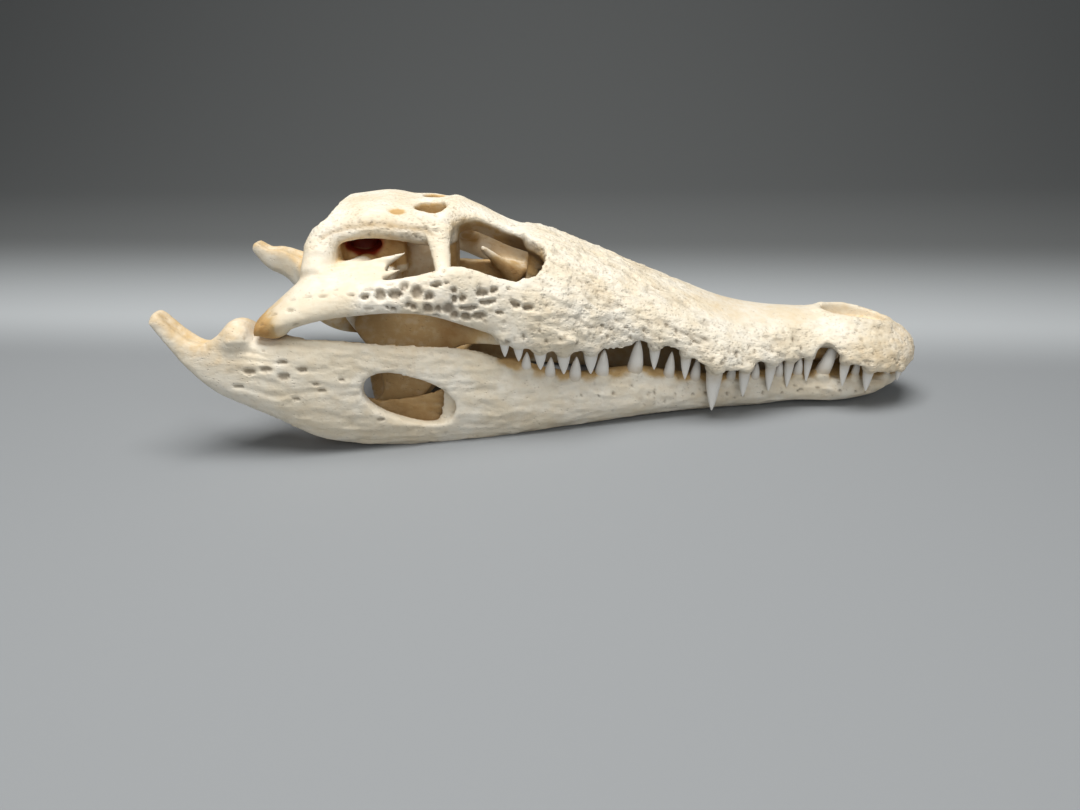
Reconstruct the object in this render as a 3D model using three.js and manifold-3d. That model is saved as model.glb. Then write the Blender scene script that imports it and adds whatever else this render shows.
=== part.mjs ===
// Skull of a young Nile crocodile with its lower jaw, lying closed on its lower jaw.
// Millimetres. +X is forward (snout tip), +Y is the animal's left, +Z is up.
// The origin is on the ground, midway along the length and the width.
// Sides are built on the animal's right (negative Y) and mirrored.

import * as THREE from 'three';
import { mergeVertices } from 'three/addons/utils/BufferGeometryUtils.js';
import Module from 'manifold-3d';

const wasm = await Module();
wasm.setup();

// ---- driving dimensions --------------------------------------------------

const SNOUT_TIP = 140;             // x of the snout tip; lengths s run back from it
const JAW_END = -140;              // x of the rear end of the lower jaw
const BONE_GAP = 0.4;              // clearance between the skull and each jaw bone
const FACE_SEAM = 4;               // x of the seam between the upper jaw and the cranium
const SEAM_GAP = 0.3;
const MIDLINE_GAP = 0.15;          // half the seam between the two jaw bones
const ROOF_THICKNESS = 5;
const CHEEK_THICKNESS = 5.5;       // jugal bar, side to side
const TABLE_FRONT = -40;
const TABLE_REAR = -86;
const FACE_REAR = -16;             // the face ends inside the orbits
const ORBIT = { x: -25.5, v: 25.5, long: 17.2, wide: 13, power: 2.5, turn: -0.1 };
const UPPER_WINDOW = { x: -57.5, v: 13.5, long: 9.2, wide: 6 };
const JAW_WINDOW = { x: -56, z: 18.6, long: 16.6, high: 8, power: 2.3, turn: -0.42 };
const NOSTRIL = { x: 114, long: 12.5, wide: 8.6, rimLong: 16, rimWide: 12 };
const CHIN_REAR = 76;              // x where the two jaw bones meet
const CONDYLE = { x: -99.6, inner: 37, outer: 56, z: 46.2, long: 5.4, high: 3.8 };
const NECK_CONDYLE = 5;            // radius of the ball of the neck joint
const HOOK_ARCH = { x: -126, width: 8, leftRise: 8 };   // the left hooked end is arched higher
const FLANGE_THICKNESS = 3.4;
const FLANGE_OFFSET = 41.6;        // sideways distance of the flange at x = 0
const FLANGE_SLOPE = 0.09;         // how much nearer the midline it runs per millimetre back
const FLANGE_OUTLINE = [[3, 37], [-20, 35.6], [-40, 34], [-50.5, 18], [-62, 7], [-76, 4.5], [-74, 10],
  [-68, 17], [-70.5, 30], [-76.5, 42], [-66, 48], [-40, 47], [-14, 44]];

// Smooth profiles as [position, value] knots. Positions s are measured back from the
// snout tip; the other profiles use x.
const HALF_WIDTH = [[0, 3], [4, 11], [10, 16.5], [18, 20.5], [28, 22], [36, 21.2], [44, 19.2],
  [54, 21.5], [70, 28], [84, 32.3], [100, 31.6], [120, 34.5], [144, 42.5], [175, 48.5],
  [210, 54.5], [246, 58.5]];
const TOP_LINE = [[0, 21], [3, 26.5], [9, 30.2], [18, 33.4], [30, 35.6], [46, 36], [62, 36.6],
  [76, 39], [90, 44], [119, 55.6], [150, 66.4], [168, 72.4], [184, 79.4], [204, 81.4], [226, 80.4]];
const TOOTH_LINE = [[0, 18.5], [8, 16.3], [16, 15.6], [27, 19], [37, 21.8], [50, 22], [64, 21.3],
  [80, 21.3], [90, 24.2], [101, 30.4], [120, 31.5], [143, 33], [156, 36.4], [175, 44],
  [188, 48.8], [203, 50.3], [226, 48.6], [244, 45]];
const CHEEK_TOP = [[20, 44], [2, 54], [-12, 57.6], [-24, 60], [-38, 63.6], [-50, 61.8], [-64, 60.5],
  [-80, 57.5], [-98, 51.5]];
const ROOF_HALF_WIDTH = [[8, 20], [-6, 15], [-16, 12.6], [-30, 12.8], [-37, 17], [-44, 25.5]];
const TABLE_HALF_WIDTH = [[-40, 17.5], [-46, 25.5], [-60, 29.5], [-78, 30.5], [-86, 31]];
const JAW_HALF_WIDTH = [[-140, 55], [-128, 57], [-110, 58.5], [-90, 57.5], [-60, 51.5], [-30, 45],
  [0, 37.5], [30, 30], [60, 23.5], [90, 18], [108, 17.2], [122, 14.5], [132, 9], [137, 3.5]];
const JAW_TOP = [[-140, 51.2], [-137.5, 52.4], [-132, 46], [-126, 42], [-120, 41.4], [-112, 42.4],
  [-98, 42.2], [-84, 41.9], [-64, 39.5], [-45, 37], [-34, 34.5], [-26, 30.8], [-17, 26.2], [-8, 22.6],
  [4, 19.8], [26, 20], [36, 17.6], [56, 14], [100, 13.8], [126, 12.6], [137, 11]];
const JAW_BOTTOM = [[-140, 47.5], [-136, 40], [-126, 27], [-114, 18], [-100, 11], [-85, 4.2],
  [-66, 0.2], [-50, -0.8], [-30, -0.8], [0, 0.3], [50, 0.6], [90, -0.3], [108, -0.6], [120, 1.2],
  [130, 5], [137, 8]];
const JAW_THICKNESS = [[-140, 8], [-132, 11], [-122, 13], [-112, 22], [-102, 22], [-94, 13],
  [-86, 11], [-60, 10.8], [-30, 10.5], [0, 9.5], [40, 8.6], [80, 9]];

// Teeth: distance from the snout tip, crown length, crown diameter at the gum.
const UPPER_TEETH = [[10.2, 5, 2.4], [23.5, 8.6, 3.6], [33, 8.4, 3], [46.6, 9.2, 2.9],
  [54.4, 10, 3.3], [62.3, 10, 3.6], [73, 11, 4.2], [84.9, 16.8, 5.8], [96, 9.4, 3.9],
  [107.8, 8.4, 3.9], [131.7, 8.4, 4.3], [141, 8, 4.3], [149.2, 6.2, 4], [157.1, 4.8, 3.4],
  [161.6, 4.6, 3]];
const LOWER_TEETH = [[13, 5, 2.4], [27, 6, 2.8], [37.6, 13.4, 5.2], [50, 7.4, 3.3],
  [57.6, 6.4, 3.2], [67.2, 6, 3.2], [77, 7.2, 3.2], [91.4, 8.6, 3.6], [101.8, 9.6, 3.8],
  [113.9, 13, 5.2], [125.1, 9.6, 4.4], [136.6, 7.6, 4.1], [146.5, 6.2, 3.5], [154.9, 6, 3.5]];
const TOOTH_ROOT = 1.6;            // how far a tooth is sunk below the edge of its jaw
const CANINE = 2;                  // the lower tooth that stands in the notch of the upper jaw

// Notches in the upper tooth line: distance from the tip, height, half-length.
const NOTCHES = [[41, 5, 3.2], [68, 2.6, 2.4], [114, 3, 3]];

// ---- profiles ------------------------------------------------------------

/** A smooth curve through knots [position, value], by Catmull-Rom slopes. */
function profile(knots) {
  const sorted = [...knots].sort((a, b) => a[0] - b[0]);
  const slope = (i) => {
    const low = sorted[Math.max(i - 1, 0)];
    const high = sorted[Math.min(i + 1, sorted.length - 1)];
    return (high[1] - low[1]) / (high[0] - low[0]);
  };
  return (position) => {
    const p = THREE.MathUtils.clamp(position, sorted[0][0], sorted[sorted.length - 1][0]);
    let i = 0;
    while (i < sorted.length - 2 && p > sorted[i + 1][0]) {
      i += 1;
    }
    const span = sorted[i + 1][0] - sorted[i][0];
    const t = (p - sorted[i][0]) / span;
    const rise = sorted[i + 1][1] - sorted[i][1];
    const left = slope(i) * span;
    const right = slope(i + 1) * span;
    return sorted[i][1] + left * t + (3 * rise - 2 * left - right) * t * t
      + (left + right - 2 * rise) * t * t * t;
  };
}

const fromTip = (curve) => (x) => curve(SNOUT_TIP - x);
const bump = (x, centre, width) => Math.exp(-(((x - centre) / width) ** 2));

const halfWidth = fromTip(profile(HALF_WIDTH));
const topLine = fromTip(profile(TOP_LINE));
const plainToothLine = fromTip(profile(TOOTH_LINE));
const cheekTop = profile(CHEEK_TOP);
const roofHalfWidth = profile(ROOF_HALF_WIDTH);
const tableHalfWidth = profile(TABLE_HALF_WIDTH);
const jawHalfWidth = profile(JAW_HALF_WIDTH);
const jawTop = profile(JAW_TOP);
const jawBottom = profile(JAW_BOTTOM);
const jawThickness = profile(JAW_THICKNESS);

/** Lower edge of the upper jaw, hollowed at the notches. */
function toothLine(x) {
  const hollow = NOTCHES.map(([at, high, half]) => high * bump(SNOUT_TIP - x, at, half));
  return hollow.reduce((sum, depth) => sum + depth, plainToothLine(x));
}

// ---- solids --------------------------------------------------------------

/** Evenly spaced numbers from a to b, both included. */
function spread(a, b, count) {
  return Array.from({ length: count }, (_, i) => a + ((b - a) * i) / (count - 1));
}

/** Signed volume, times six, of a set of triangles: negative where the faces point inwards. */
function signedVolume(points, triangles) {
  let sum = 0;
  for (let i = 0; i < triangles.length; i += 3) {
    const [a, b, c] = triangles.slice(i, i + 3).map((index) => points[index]);
    sum += a.dot(b.clone().cross(c));
  }
  return sum;
}

/** Indexed geometry from points and triangles, turned so that its faces point out. */
function closedGeometry(points, triangles) {
  if (signedVolume(points, triangles) < 0) {
    triangles.reverse();
  }
  const geometry = new THREE.BufferGeometry().setFromPoints(points);
  geometry.setIndex(triangles);
  return geometry;
}

/** A closed skin over rings with the same number of points; the last may close on a tip. */
function loft(rings, endPoint = null) {
  const sides = rings[0].length;
  const points = rings.flat();
  const triangles = [];
  for (let r = 0; r < rings.length - 1; r += 1) {
    for (let k = 0; k < sides; k += 1) {
      const a = r * sides + k;
      const b = r * sides + ((k + 1) % sides);
      triangles.push(a, b, a + sides, b, b + sides, a + sides);
    }
  }
  const centre = (ring) => ring.reduce((sum, p) => sum.add(p), new THREE.Vector3()).divideScalar(sides);
  points.push(centre(rings[0]), endPoint ?? centre(rings[rings.length - 1]));
  const lastRing = (rings.length - 1) * sides;
  for (let k = 0; k < sides; k += 1) {
    const next = (k + 1) % sides;
    triangles.push(points.length - 2, next, k);
    triangles.push(points.length - 1, lastRing + k, lastRing + next);
  }
  return closedGeometry(points, triangles);
}

/** Superellipse in the plane across X, from (y0, z0) to (y1, z1). */
function crossRing(x, y0, y1, z0, z1, power = 2.4, sides = 12) {
  return spread(0, 2 * Math.PI, sides + 1).slice(0, sides).map((t) => {
    const c = Math.sign(Math.cos(t)) * Math.abs(Math.cos(t)) ** (2 / power);
    const s = Math.sign(Math.sin(t)) * Math.abs(Math.sin(t)) ** (2 / power);
    const y = THREE.MathUtils.lerp(y0, y1, (1 + c) / 2);
    const z = THREE.MathUtils.lerp(z0, z1, (1 + s) / 2);
    return new THREE.Vector3(x, y, z);
  });
}

/** A bone swept along a smooth path; each stop is [x, y, z, half-breadth, half-height]. */
function bar(stops, count = 10, sides = 8) {
  const path = new THREE.CatmullRomCurve3(stops.map(([x, y, z]) => new THREE.Vector3(x, y, z)));
  const size = (index) => profile(stops.map((stop, i) => [i / (stops.length - 1), stop[index]]));
  const breadth = size(3);
  const height = size(4);
  const rings = spread(0, 1, count).map((u) => {
    const forward = path.getTangent(u);
    const side = new THREE.Vector3(0, 0, 1).cross(forward);
    if (side.length() < 0.2) {
      side.set(0, 1, 0).cross(forward);
    }
    side.normalize();
    const up = forward.clone().cross(side);
    return spread(0, 2 * Math.PI, sides + 1).slice(0, sides).map((t) => path.getPoint(u)
      .addScaledVector(side, breadth(u) * Math.cos(t))
      .addScaledVector(up, height(u) * Math.sin(t)));
  });
  return loft(rings);
}

/** Flat outline extruded along +Z from low to high. */
function prism(points, low, high) {
  const options = { depth: high - low, bevelEnabled: false };
  return new THREE.ExtrudeGeometry(new THREE.Shape(points), options).translate(0, 0, low);
}

/** Points of a superellipse round (x, y), turned about its centre. */
function oval({ x, y, long, wide, power = 2, turn = 0 }, sides = 20) {
  return spread(0, 2 * Math.PI, sides + 1).slice(0, sides).map((t) => {
    const a = long * Math.sign(Math.cos(t)) * Math.abs(Math.cos(t)) ** (2 / power);
    const b = wide * Math.sign(Math.sin(t)) * Math.abs(Math.sin(t)) ** (2 / power);
    return new THREE.Vector2(
      x + a * Math.cos(turn) - b * Math.sin(turn),
      y + a * Math.sin(turn) + b * Math.cos(turn),
    );
  });
}

/** A slightly curved cone from its root to its tip. */
function tooth({ root, tip, radius }, extra = 0) {
  const along = new THREE.Vector3().subVectors(tip, root);
  const side = new THREE.Vector3(1, 0, 0);
  const out = along.clone().cross(side).normalize();
  const sides = 5;
  const rings = [[-0.1, 1], [0.55, 0.76]].map(([u, r]) => {
    const bow = 1.1 * radius * u * (u - 1);
    const middle = root.clone().addScaledVector(along, u).addScaledVector(out, bow);
    return spread(0, 2 * Math.PI, sides + 1).slice(0, sides).map((t) => middle.clone()
      .addScaledVector(side, (radius * r + extra) * Math.cos(t))
      .addScaledVector(out, (radius * r * 0.86 + extra) * Math.sin(t)));
  });
  return loft(rings, tip.clone().addScaledVector(along, extra / along.length()));
}

/** Manifold solid of a closed geometry. */
function solid(geometry) {
  const bare = geometry.clone();
  bare.deleteAttribute('normal');
  bare.deleteAttribute('uv');
  const merged = mergeVertices(bare, 1e-4);
  return new wasm.Manifold(new wasm.Mesh({
    numProp: 3,
    vertProperties: new Float32Array(merged.attributes.position.array),
    triVerts: new Uint32Array(merged.index.array),
  }));
}

/** The same geometry on the other side of the midline. */
function mirrored(geometry) {
  const copy = geometry.clone().applyMatrix4(new THREE.Matrix4().makeScale(1, -1, 1));
  const flat = copy.index ? copy.toNonIndexed() : copy;
  const array = flat.attributes.position.array;
  for (let i = 0; i < array.length; i += 9) {
    for (let k = 0; k < 3; k += 1) {
      [array[i + k], array[i + 6 + k]] = [array[i + 6 + k], array[i + k]];
    }
  }
  return flat;
}

const join = (solids) => solids.reduce((whole, piece) => whole.add(piece));
const bothSides = (geometries) => geometries.flatMap((g) => [solid(g), solid(mirrored(g))]);

/** three.js mesh of a Manifold solid. */
function toMesh(body, name, look) {
  const { vertProperties, triVerts } = body.getMesh();
  const geometry = new THREE.BufferGeometry();
  geometry.setAttribute('position', new THREE.BufferAttribute(vertProperties, 3));
  geometry.setIndex(new THREE.BufferAttribute(triVerts, 1));
  geometry.computeVertexNormals();
  const mesh = new THREE.Mesh(geometry, look);
  mesh.name = name;
  return mesh;
}

// ---- teeth ---------------------------------------------------------------

/** Upper teeth hang from the tooth line, just inside the outer face of the jaw. */
function upperTooth([s, length, diameter]) {
  const x = SNOUT_TIP - s;
  const v = Math.max(halfWidth(x) - diameter / 2 - 0.6, 4);
  const z = plainToothLine(x) + TOOTH_ROOT;
  return {
    root: new THREE.Vector3(x, -v, z),
    tip: new THREE.Vector3(x + 0.06 * length, -v + 0.05 * length, z - length - TOOTH_ROOT),
    radius: diameter / 2,
  };
}

/** Lower teeth stand on the rim of the lower jaw and lean forward a little. */
function lowerTooth([s, length, diameter], index) {
  const x = SNOUT_TIP - s;
  const v = Math.max(jawHalfWidth(x) - diameter / 2 - 1.6, 3);
  const z = jawTop(x) - TOOTH_ROOT;
  const lean = index === CANINE ? 0.24 : 0.1;
  return {
    root: new THREE.Vector3(x, -v, z),
    tip: new THREE.Vector3(x + lean * length, -v - 0.06 * length, z + length + TOOTH_ROOT),
    radius: diameter / 2,
  };
}

const upperTeeth = UPPER_TEETH.map(upperTooth);
const lowerTeeth = LOWER_TEETH.map(lowerTooth);

// ---- skull ---------------------------------------------------------------

/** Snout and face: a low vault that grows squarer towards the orbits. */
function face() {
  const stations = [0, 2, 5, 10, ...spread(16, 121, 18), ...spread(131, SNOUT_TIP - FACE_REAR, 3)];
  return loft(stations.map((s) => {
    const x = SNOUT_TIP - s;
    const w = halfWidth(x);
    const low = toothLine(x);
    const high = topLine(x);
    const power = THREE.MathUtils.lerp(2.1, 2.75, THREE.MathUtils.smoothstep(s, 60, 150));
    const palate = low + Math.min(3, w / 8);
    const vault = spread(0, Math.PI, 11).map((t) => new THREE.Vector3(
      x,
      w * Math.sign(Math.cos(t)) * Math.abs(Math.cos(t)) ** (2 / power),
      low + (high - low) * Math.sin(t) ** (2 / power),
    ));
    const roofOfMouth = [-1, 1].map((side) => new THREE.Vector3(x, side * Math.max(w - 5, w * 0.4), palate));
    return [...vault, ...roofOfMouth];
  }));
}

/** Strip of roof between the orbits, flaring back into the skull table. */
function browRoof() {
  return loft(spread(4, -46, 8).map((x) => {
    const v = roofHalfWidth(x);
    return crossRing(x, -v, v, topLine(x) - ROOF_THICKNESS - 1.5, topLine(x) - 0.3, 2.8, 10);
  }));
}

/** Flat skull table with its rear corners drawn back and down. */
function skullTable() {
  return loft(spread(TABLE_FRONT, TABLE_REAR, 7).map((x) => {
    const v = tableHalfWidth(x);
    const low = topLine(x) - 7 - 3.5 * bump(x, -44, 6);
    const ring = crossRing(x, -v, v, low, topLine(x), 3.6, 12);
    return ring.map((p) => {
      const edge = Math.abs(p.y) / v;
      const rear = THREE.MathUtils.smoothstep(-x, 68, 87);
      p.x -= rear * (8 * edge ** 4 - 2);
      p.z -= edge ** 6 + rear * 7.5 * edge ** 3.2;
      return p;
    });
  }));
}

/** Jugal and quadratojugal: the bar below the orbit and the side window. */
function cheekBar() {
  return loft(spread(4, -98, 10).map((x) => {
    const w = halfWidth(x) - 0.2;
    const low = toothLine(x) + 0.2;
    const high = cheekTop(x);
    const shrink = 2.6 * (1 - THREE.MathUtils.smoothstep(-x, -4, 14));
    const inner = -w + CHEEK_THICKNESS;
    return crossRing(x, -w + shrink / 2, inner, low + shrink, high - shrink, 2.8, 8).map((p) => {
      p.y += 3.4 * ((p.z - low) / (high - low)) ** 2;
      return p;
    });
  }));
}

/** Quadrate: a broad ramp from under the table out and back to the jaw joint. */
function quadrate() {
  const stations = [
    { x: -63, inner: 29, outer: 49, innerZ: 65, outerZ: 58.8, thick: 3 },
    { x: -70, inner: 25, outer: 50.8, innerZ: 65.4, outerZ: 58.5, thick: 5.5 },
    { x: -79, inner: 23, outer: 52.5, innerZ: 65.5, outerZ: 57.5, thick: 8 },
    { x: -88, inner: 30, outer: 54, innerZ: 64, outerZ: 55, thick: 9 },
    { x: -97, inner: 36, outer: 55.2, innerZ: 55.5, outerZ: 51.5, thick: 8.5 },
    { x: -106, inner: 38.5, outer: 54.8, innerZ: 46.4, outerZ: 46.2, thick: 3.4 },
  ];
  return loft(stations.map(({ x, inner, outer, innerZ, outerZ, thick }) => {
    const ring = crossRing(x, -outer, -inner, -thick, 0, 2.8, 8);
    return ring.map((p) => {
      const u = (-p.y - inner) / (outer - inner);
      p.z += THREE.MathUtils.lerp(innerZ, outerZ, u) + 1.6 * Math.sin(Math.PI * u);
      return p;
    });
  }));
}

/** Two pointed splints that the quadratojugal sends forward into the side window. */
function splints() {
  return [
    bar([[-76, -33, 63.5, 3, 2.4], [-65, -33.5, 64.4, 2.4, 1.9], [-56.5, -33, 67.4, 0.5, 0.5]], 3, 5),
    bar([[-74, -43, 59, 3, 2.4], [-65, -41, 60, 2.2, 1.5], [-57.5, -38.8, 62.6, 0.5, 0.5]], 3, 5),
  ];
}

/** Double roller of the jaw joint, across the rear end of the quadrate. */
function jawCondyle(extra = 0) {
  const { x, inner, outer, z, long, high } = CONDYLE;
  const stops = [
    [inner + 0.5 - extra, 0, 0.72], [inner + 4.5, 0, 1], [(inner + outer) / 2, 0.6, 0.84],
    [outer - 4.5, 0, 1], [outer - 0.5 + extra, 0, 0.7],
  ];
  return bar(stops.map(([y, rise, size]) => [
    x, -y, z + rise, long * size + extra, high * size + extra]), 5, 6);
}

/** Braincase below the table, narrow in front and deep behind. */
function braincase() {
  return loft(spread(-42, -84, 4).map((x) => {
    const u = (-42 - x) / 42;
    const v = 7 + 7 * u;
    return crossRing(x, -v, v, 52 - 16 * u, 75, 2.4, 6);
  }));
}

/** Rear wall of the skull, its wings reaching out to the quadrates and the table's corners. */
function occiput() {
  return loft(spread(-36, 36, 7).map((y) => {
    const u = Math.abs(y) / 36;
    const low = 53 + 6 * u * u;
    const high = 75 - 6 * u ** 3;
    const deep = 4 - 0.8 * u;
    return crossRing(0, -deep, deep, low, high, 2.6, 6).map((p) => new THREE.Vector3(
      -82 - 3.2 * u ** 2 + p.y - 0.12 * (p.z - 64),
      y,
      p.z,
    ));
  }));
}

/** Rear pillar of the ear recess, from the table's corner down to the quadrate. */
function earPillar() {
  return bar([[-85, -26, 73, 5, 4], [-87, -32, 67, 5, 4], [-87.5, -39, 60, 5, 4]], 3, 5);
}

/** Inner wall of the ear recess. */
function earWall() {
  return loft([[-59, 20.6], [-72, 23.6], [-87, 26]]
    .map(([x, y]) => crossRing(x, -y - 2.4, -y + 3, 58, 76, 3, 6)));
}

/** Overhanging lower edge of the table, above the ear recess. */
function tableRim() {
  return bar([[-90, -29, 68.4, 2, 2.4], [-79, -28.4, 72, 2, 2.2], [-66, -27.4, 73, 2, 2.4],
    [-43, -24.5, 69.6, 2.4, 2.6]], 5, 5);
}

/** Root of the quadrate: the wall between the braincase and the ramp. */
function quadrateRoot() {
  return bar([[-66, -8, 56, 5, 12], [-71, -20, 56, 5, 9.5], [-77, -32, 56.5, 5.5, 6.5],
    [-86, -44, 53, 6, 4.5]], 4, 5);
}

/** Keel below the braincase that carries the neck joint. */
function skullBase() {
  return [
    bar([[-80, 0, 60, 10, 9], [-84, 0, 54, 9, 7], [-81, 0, 40, 10, 4.5], [-74, 0, 30, 11, 3]], 4, 6),
    bar([[-82, 0, 56, 4, 4], [-87, 0, 55.6, NECK_CONDYLE, NECK_CONDYLE], [-91.5, 0, 55, 3, 3]], 3, 8),
  ];
}

/** Pterygoid wing: a plate that falls from the midline out to the inner face of the jaw. */
function pterygoidWing() {
  const stations = [
    { x: -36, outer: 10, z: 29, fall: 1, thick: 3.5 },
    { x: -43, outer: 33, z: 29, fall: 3, thick: 4 },
    { x: -54, outer: 35.5, z: 29, fall: 14, thick: 4.5 },
    { x: -66, outer: 34.5, z: 31, fall: 22, thick: 4.5 },
    { x: -73, outer: 31, z: 32, fall: 20, thick: 4 },
    { x: -79, outer: 12, z: 33, fall: 4, thick: 4 },
  ];
  return loft(stations.map(({ x, outer, z, fall, thick }) => {
    const ring = crossRing(x, -outer, 2, -thick, 0, 3, 6);
    return ring.map((p) => {
      const u = Math.max(-p.y / outer, 0);
      p.z += z - fall * u ** 1.6;
      return p;
    });
  }));
}

/** Outer plate of the wing: hooked behind and below, and running forward to the cheek. */
function pterygoidFlange() {
  const corners = FLANGE_OUTLINE.map(([x, z]) => new THREE.Vector3(x, z, 0));
  const edge = new THREE.CatmullRomCurve3(corners, true).getPoints(16).slice(0, 16);
  const plate = prism(edge, -FLANGE_THICKNESS / 2, FLANGE_THICKNESS / 2);
  plate.rotateX(Math.PI / 2);
  const shear = new THREE.Matrix4();
  shear.set(1, 0, 0, 0, -FLANGE_SLOPE, 1, 0, -FLANGE_OFFSET, 0, 0, 1, 0, 0, 0, 0, 1);
  return plate.applyMatrix4(shear);
}

/** Spur of the ectopterygoid that climbs the inner side of the cheek. */
function cheekSpur() {
  return bar([[-24, -42, 41, 3, 3], [-31, -43.5, 47, 2, 2], [-36.5, -42, 53.4, 1.2, 1.2]], 3, 5);
}

/** Palatine bar along the middle of the palate. */
function palatineKeel() {
  return loft(spread(34, -48, 5).map((x) => {
    const u = (34 - x) / 82;
    const v = 9 - 3.4 * Math.sin(Math.PI * u);
    const z = 33 - 3.6 * u;
    return crossRing(x, -v, v, z - 3, z + 3, 2.6, 6);
  }));
}

/** Pillar that carries the brow on the palatines. */
function pillar() {
  return bar([[-10, -9, 66, 3.4, 4], [-13, -8, 52, 2.2, 2.8], [-16, -6, 36, 3, 3],
    [-17, -5, 31, 3.4, 3.4]], 4, 5);
}

/** Bar between the orbit and the side window. */
function postorbitalBar() {
  return bar([[-43, -25, 74.5, 6, 4.5], [-41.8, -29.5, 70, 3.9, 2.9], [-39.6, -35, 63.6, 2.4, 2.1],
    [-38.4, -39.6, 59.2, 3, 2.8], [-37, -44, 55, 4, 3]], 5, 6);
}

/** Space below the roof and between the cheeks, open to the palate. */
function orbitalHollow() {
  const stations = [
    { x: 26, inner: 11, outer: 15, high: 38 },
    { x: 18, inner: 8.5, outer: 21, high: 42 },
    { x: 8, inner: 7, outer: 26, high: 47 },
    { x: -3, inner: -4, outer: 30, high: 55 },
    { x: -12, inner: -6, outer: 34, high: 61 },
    { x: -40, inner: -8, outer: 42, high: 70 },
  ];
  return loft(stations.map(({ x, inner, outer, high }) => crossRing(x, -outer, -inner, 20, high, 3, 12)));
}

/** Opening cut straight down through the roof and face for the eye. */
function orbitCut() {
  const { x, v, long, wide, power, turn } = ORBIT;
  return prism(oval({ x, y: -v, long, wide, power, turn }, 14), 44, 100);
}

function upperWindowCut() {
  const { x, v, long, wide } = UPPER_WINDOW;
  return prism(oval({ x, y: -v, long, wide, power: 2.2 }, 10), 68, 100);
}

/** Raised rim round the bony nostril. */
function nostrilRim() {
  return loft(spread(-1, 1, 7).map((u) => {
    const x = NOSTRIL.x + NOSTRIL.rimLong * u;
    const v = 1.5 + (NOSTRIL.rimWide - 1.5) * Math.sqrt(1 - u * u);
    return crossRing(x, -v, v, topLine(x) - 5, topLine(x) + 0.9 - 0.7 * u * u, 3, 12);
  }));
}

function nostrilCut() {
  const { x, long, wide } = NOSTRIL;
  return prism(oval({ x, y: 0, long, wide, power: 2.1 }, 14), 30, 45);
}

/** Great hole for the spinal cord. */
function nerveHole() {
  const hole = prism(oval({ x: 65.5, y: 0, long: 4.4, wide: 5.2 }, 12), 0, 14);
  return hole.rotateY(-Math.PI / 2).translate(-78, 0, 0);
}

/** Rear opening of the nose passage, in the underside of the pterygoids. */
function rearNostril() {
  return prism(oval({ x: -62, y: 0, long: 5, wide: 4 }, 12), 20, 29);
}

function buildSkull() {
  const hollows = join([...bothSides([orbitalHollow(), orbitCut()]), solid(nostrilCut())]);
  const front = join([solid(face()), solid(nostrilRim())]).subtract(hollows);
  const middle = [
    browRoof(), skullTable(), braincase(), occiput(), ...skullBase(), palatineKeel(),
  ].map(solid);
  const sides = bothSides([
    cheekBar(), quadrate(), quadrateRoot(), earPillar(), earWall(), tableRim(), ...splints(), jawCondyle(),
    postorbitalBar(), pillar(), cheekSpur(), pterygoidWing(), pterygoidFlange(),
    ...upperTeeth.map((t) => tooth(t)),
  ]);
  const cuts = [
    ...bothSides([upperWindowCut(), ...lowerTeeth.map((t) => tooth(t, BONE_GAP))]),
    solid(nerveHole()),
    solid(rearNostril()),
  ];
  return join([front, ...middle, ...sides]).subtract(join(cuts));
}

// ---- lower jaw -----------------------------------------------------------

/** Inner face of a jaw bone, as far from the midline as the bone is thick. */
const jawInner = (x) => Math.max(jawHalfWidth(x) - jawThickness(x), MIDLINE_GAP);

/** One jaw bone from its hooked rear end to the chin, where it is half of a joined section. */
function jawBone() {
  const stations = [...spread(JAW_END, -84, 11), ...spread(-71, 128, 15), 134, 137];
  return loft(stations.map((x) => {
    const outer = jawHalfWidth(x);
    const joined = THREE.MathUtils.smoothstep(x, CHIN_REAR, CHIN_REAR + 16);
    const inner = THREE.MathUtils.lerp(jawInner(x), -outer, joined);
    const low = jawBottom(x);
    const high = jawTop(x);
    const tuck = THREE.MathUtils.lerp(-2, 3.2, THREE.MathUtils.smoothstep(x, -20, 60));
    return crossRing(x, -outer, -inner, low, high, 3.3, 10).map((p) => {
      const u = (p.z - low) / (high - low);
      const out = (-p.y - inner) / (outer - inner);
      p.y += out * (tuck * (1 - u) ** 3 + 1.6 * u ** 4);
      p.y = Math.min(p.y, -MIDLINE_GAP);
      return p;
    });
  }));
}

/** Lip behind the jaw joint, and the swelling that runs back from it. */
function jointLip() {
  return [
    bar([[-112, -38, 38.5, 4, 5], [-112.6, -46, 42.4, 4.4, 5.3], [-112.6, -51.5, 42.2, 4.8, 5.6],
      [-111, -56, 39.5, 4, 4.4]], 4, 6),
    bar([[-124, -52.5, 37, 3, 3], [-118, -52.5, 40.6, 3, 3.6], [-112, -53, 42, 3.4, 4]], 3, 5),
  ];
}

/** Trough between the two rims of the hooked rear end. */
function rearTrough() {
  return bar([[-118, -49.5, 44.6, 2.6, 2.4], [-124, -50.2, 43.2, 3.3, 3.2], [-130, -50.4, 46, 3.2, 3],
    [-135.5, -50.2, 52, 2.8, 2.6], [-137.5, -50, 56.5, 2.4, 2.4]], 5, 5);
}

/** Space for the jaw muscles: open above, inwards, and through the side window. */
function muscleSpace() {
  const trough = loft(spread(-90, -20, 6).map((x) => {
    const u = Math.sin((Math.PI * (-20 - x)) / 70);
    const outer = jawHalfWidth(x) - 5 - 1.6 * (1 - u);
    const inner = THREE.MathUtils.lerp(outer - 3, jawInner(x) + 2.4, Math.min(1, 1.6 * u));
    return crossRing(x, -outer, -inner, THREE.MathUtils.lerp(18, 5, u), 62, 3.2, 8);
  }));
  const innerGate = loft(spread(-86, -34, 5).map((x) => {
    const u = Math.sin((Math.PI * (-34 - x)) / 52);
    return crossRing(x, -jawInner(x) - 4, -jawInner(x) + 6, 22 - 7 * u, 62, 3, 8);
  }));
  return [trough, innerGate];
}

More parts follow.
